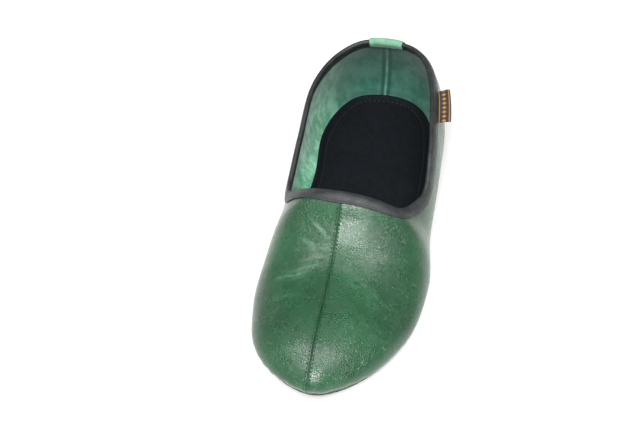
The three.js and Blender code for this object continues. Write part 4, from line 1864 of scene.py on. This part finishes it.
class Bottom:
    """The rand and the outsole."""

    def __init__(self, form: ShoeForm, turns: TurnPlan, looks: BottomLooks) -> None:
        """Takes what rand and outsole are built from.

        Args:
            form: the shoe's form.
            turns: where the ribs stand.
            looks: what the solids leave out.
        """
        self.form, self.turns, self.looks = form, turns, looks

    def _ribs(self, side: int) -> Ribs:
        """The ribs of one side."""
        return self.form.ribs(TurnPlan.sides(self.turns.all, side), self.turns.all)

    def make_rand(self, leather: bpy.types.Material) -> bpy.types.Object:
        """Builds the thin rim between the upper and the outsole.

        Args:
            leather: its material.
        Returns:
            The piece.
        """
        s, draft = self.form.s, MeshDraft()
        low = s.sole_thickness + s.clearance * 0.3
        high = s.sole_thickness + s.rand_height + s.clearance * 1.6
        middle, half = (low + high) / 2, (high - low) / 2
        for side in (1, -1):
            rib = self._ribs(side)
            outside = rib.reach - rib.inset + s.rand_proud
            inside = outside - s.rand_width
            columns = [self.form.raised(rib, inside, high)]
            for angle in np.linspace(math.pi / 2, -math.pi / 2, 11):
                out = outside - self.looks.rand_rounding * (1 - math.cos(angle))
                columns.append(self.form.raised(rib, out, middle + half * math.sin(angle)))
            columns.append(self.form.raised(rib, inside, low))
            columns.append(columns[0])
            draft.add(np.stack(columns, 1))
        piece = draft.make("rand_strip", [leather])
        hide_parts("rand")
        return piece

    def make_outsole(self, sole: bpy.types.Material) -> bpy.types.Object:
        """Builds the outsole with its pressed stitch channel.

        Args:
            sole: its material.
        Returns:
            The piece.
        """
        form, s, draft = self.form, self.form.s, MeshDraft()
        for side in (1, -1):
            rib = self._ribs(side)
            reach = rib.reach - rib.inset - s.sole_inset
            bevel, top = self.looks.bevel, s.sole_thickness
            columns = [form.raised(rib, reach * share, top) for share in np.linspace(0, 1, 13)]
            columns.append(form.raised(rib, reach + self.looks.edge_swell, top * 0.6))
            columns.append(form.raised(rib, reach, bevel))
            columns.append(form.raised(rib, reach - bevel * 0.3, bevel * 0.3))
            columns.append(form.raised(rib, reach - bevel, 0.0))
            for inset, height in self.looks.channel:
                columns.append(form.raised(rib, reach - inset, height))
            inside = reach - self.looks.channel[-1][0]
            for share in np.linspace(0, 1, 13)[::-1][1:]:
                columns.append(form.raised(rib, inside * share, 0.0))
            draft.add(np.stack(columns, 1))
        piece = draft.make("sole_plate", [sole])
        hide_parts("outsole")
        return piece

    def sole_row(self) -> list[Array]:
        """The stitch row in the channel under the sole.

        Returns:
            One row, all round the sole.
        """
        halves = []
        for side in (1, -1):
            rib = self._ribs(side)
            reach = rib.reach - rib.inset - self.form.s.sole_inset - self.looks.stitch_inset
            halves.append(self.form.raised(rib, reach, self.looks.stitch_height))
        return [round_the_shoe(halves)]


# Studio


@dataclass(frozen=True)
class PhotoCamera:
    """Camera at the photograph's viewing angle; lengths in millimetres, angles in degrees."""

    frame_width: int = 640
    focal_px: float = 1094.7
    azimuth: float = 11.15
    elevation: float = 46.69
    height: float = 519.0
    sideways: float = 22.29
    distance: float = 471.3
    sensor: float = 36.0

    def make(self) -> bpy.types.Object:
        """Builds the camera and makes it the scene's own.

        Returns:
            The camera.
        """
        turn, tilt = math.radians(self.azimuth), math.radians(self.elevation)
        c, s = math.cos(turn), math.sin(turn)
        x = -self.sideways * c + self.distance * s
        y = -self.sideways * s - self.distance * c
        place = Vector((x, y, self.height))
        ahead = Vector((-math.cos(tilt) * s, math.cos(tilt) * c, -math.sin(tilt)))
        right = Vector((c, s, 0))
        up = right.cross(ahead)
        data = bpy.data.cameras.new("photo_camera")
        data.sensor_fit = "HORIZONTAL"
        data.sensor_width = self.sensor
        data.lens = self.focal_px / self.frame_width * self.sensor
        data.clip_start, data.clip_end = 0.01, 30.0
        camera = add_object("photo_camera", data)
        rotation = Matrix((right, up, -ahead)).transposed().to_4x4()
        camera.matrix_world = Matrix.Translation(place * MM) @ rotation
        bpy.context.scene.camera = camera
        return camera


@dataclass(frozen=True)
class SoftLight:
    """A square soft light aimed at the shoe."""

    name: str
    place: tuple[float, float, float]
    size: float
    power: float
    colour: str = "#ffffff"
    target: tuple[float, float, float] = (0.0, 0.0, 0.03)

    def make(self) -> None:
        """Builds the light."""
        data = bpy.data.lights.new(self.name, "AREA")
        data.shape = "SQUARE"
        data.size = self.size
        data.energy = self.power
        data.color = linear(self.colour)[:3]
        lamp = add_object(self.name, data)
        lamp.location = self.place
        aim = Vector(self.target) - Vector(self.place)
        lamp.rotation_euler = aim.to_track_quat("-Z", "Y").to_euler()


@dataclass(frozen=True)
class Studio:
    """Pale floor, even surroundings and soft lights."""

    floor_width: float = 12.0
    surroundings: float = 0.26
    lights: tuple[SoftLight, ...] = (
        SoftLight("overhead_right", (0.3, -0.3, 1.02), 0.55, 7.0),
        SoftLight("overhead_left", (-0.42, -0.3, 1.02), 0.55, 7.0),
        SoftLight("window_front", (0.1, -0.85, 0.95), 0.45, 15.0),
    )

    def make(self) -> None:
        """Builds the floor, the world and the lights."""
        mesh = bpy.data.meshes.new("floor")
        half = self.floor_width / 2
        corners = [(-half, -half, 0), (half, -half, 0), (half, half, 0), (-half, half, 0)]
        mesh.from_pydata(corners, [], [(0, 1, 2, 3)])
        mesh.materials.append(PalePaper().make())
        floor = add_object("floor", mesh)
        world = bpy.data.worlds.new("studio")
        world.use_nodes = True
        sky = world.node_tree.nodes["Background"].inputs
        sky["Color"].default_value = (1, 1, 1, 1)
        sky["Strength"].default_value = self.surroundings
        bpy.context.scene.world = world
        for light in self.lights:
            light.make()
        bpy.context.scene.view_settings.view_transform = "Standard"


class Slipper:
    """The whole shoe."""

    def __init__(self) -> None:
        """Works out the form and the node group for stitches."""
        self.form = ShoeForm(ShoeSizes())
        self.turns = TurnPlan(self.form, heel=40, rear=96, front=64, toe=54)
        self.stitches = StitchMaker()

    def _own(self, piece: bpy.types.Object) -> None:
        """Lets a piece ride on the shoe's body and logs its number of faces."""
        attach(piece, BODY)
        LOG.info("%s: %d faces", piece.name, len(piece.data.polygons))

    def make(self) -> None:
        """Builds every piece."""
        # Glossy and pebbled, with highlights that the grain breaks up
        green = GrainLeather().make()
        # Matt, mottled nap, with painted shade toward the heel and beside the back seam, partly its own
        # darker tone
        lining = Suede("green_suede_lining", "#4e9674", "#98d2b5", heel_painted_shade="#204a43").make()
        # Pale, matt nap
        tab_suede = Suede("light_green_suede", "#5c9173", "#80ab92").make()
        # Near black, with a soft sheen on its fold
        black = SmoothLeather("black_binding_leather", "#16191a", "#303435").make()
        # Deep black and almost without shine
        bed_look = ("#05080c", "#0b0f16", (0.72, 0.88), 0.7, 0.04, 0.18)
        bed = SmoothLeather("black_insole_leather", *bed_look).make()
        # Dark green, plain rim
        rim = SmoothLeather("green_rand_leather", "#0f4023", "#1c5a34").make()
        # Dull dark brown with coarse pores
        sole_look = ("#18120e", "#2e241c", (0.6, 0.8), 0.9, 0.08)
        sole = SmoothLeather("dark_sole_leather", *sole_look).make()
        # Matt twisted threads, a little darker than what they sew
        green_thread = Thread("dark_green_thread", "#061a0f", "#0e2c1b").make()
        black_thread = Thread("black_thread", "#101112", "#26282a").make()
        upper = Upper(self.form, self.turns, UpperLooks())
        binding = Binding(self.form, self.turns, BindingLooks())
        footbed = Footbed(self.form, self.turns, FootbedLooks())
        bottom = Bottom(self.form, self.turns, BottomLooks())
        self._own(upper.make(green, lining))
        self._own(binding.make(black))
        self._own(HeelTab(self.form, TabLooks(), binding).make(tab_suede))
        self._own(SideLabel(self.form, LabelLooks()).make(WovenLabel().make()))
        self._own(footbed.make(bed))
        self._own(bottom.make_rand(rim))
        self._own(bottom.make_outsole(sole))
        seam, fine = StitchSizes(2.3, 1.6, 0.85), StitchSizes(2.3, 1.7, 0.42, 11)
        inside, under = StitchSizes(3.2, 2.3, 0.5, 3), StitchSizes(4.0, 2.9, 0.6, 5)
        stitched = (
            ("seam_stitches", upper.seam_rows(), seam, green_thread, Slot.UPPER),
            ("back_stitches", upper.back_rows(), seam, green_thread, Slot.UPPER),
            ("binding_stitches", binding.rows(), fine, black_thread, Slot.BINDING),
            ("footbed_stitches", footbed.rows(), inside, black_thread, Slot.INSOLE),
            ("sole_stitches", bottom.sole_row(), under, black_thread, Slot.SOLE),
        )
        for name, paths, sizes, thread, slot in stitched:
            self._own(self.stitches.make(name, paths, sizes, thread))


def main() -> None:
    """Loads the frame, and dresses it."""
    logging.basicConfig(level=logging.INFO, format="%(message)s")
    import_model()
    Studio().make()
    PhotoCamera().make()
    Slipper().make()


if __name__ == "__main__":
    main()
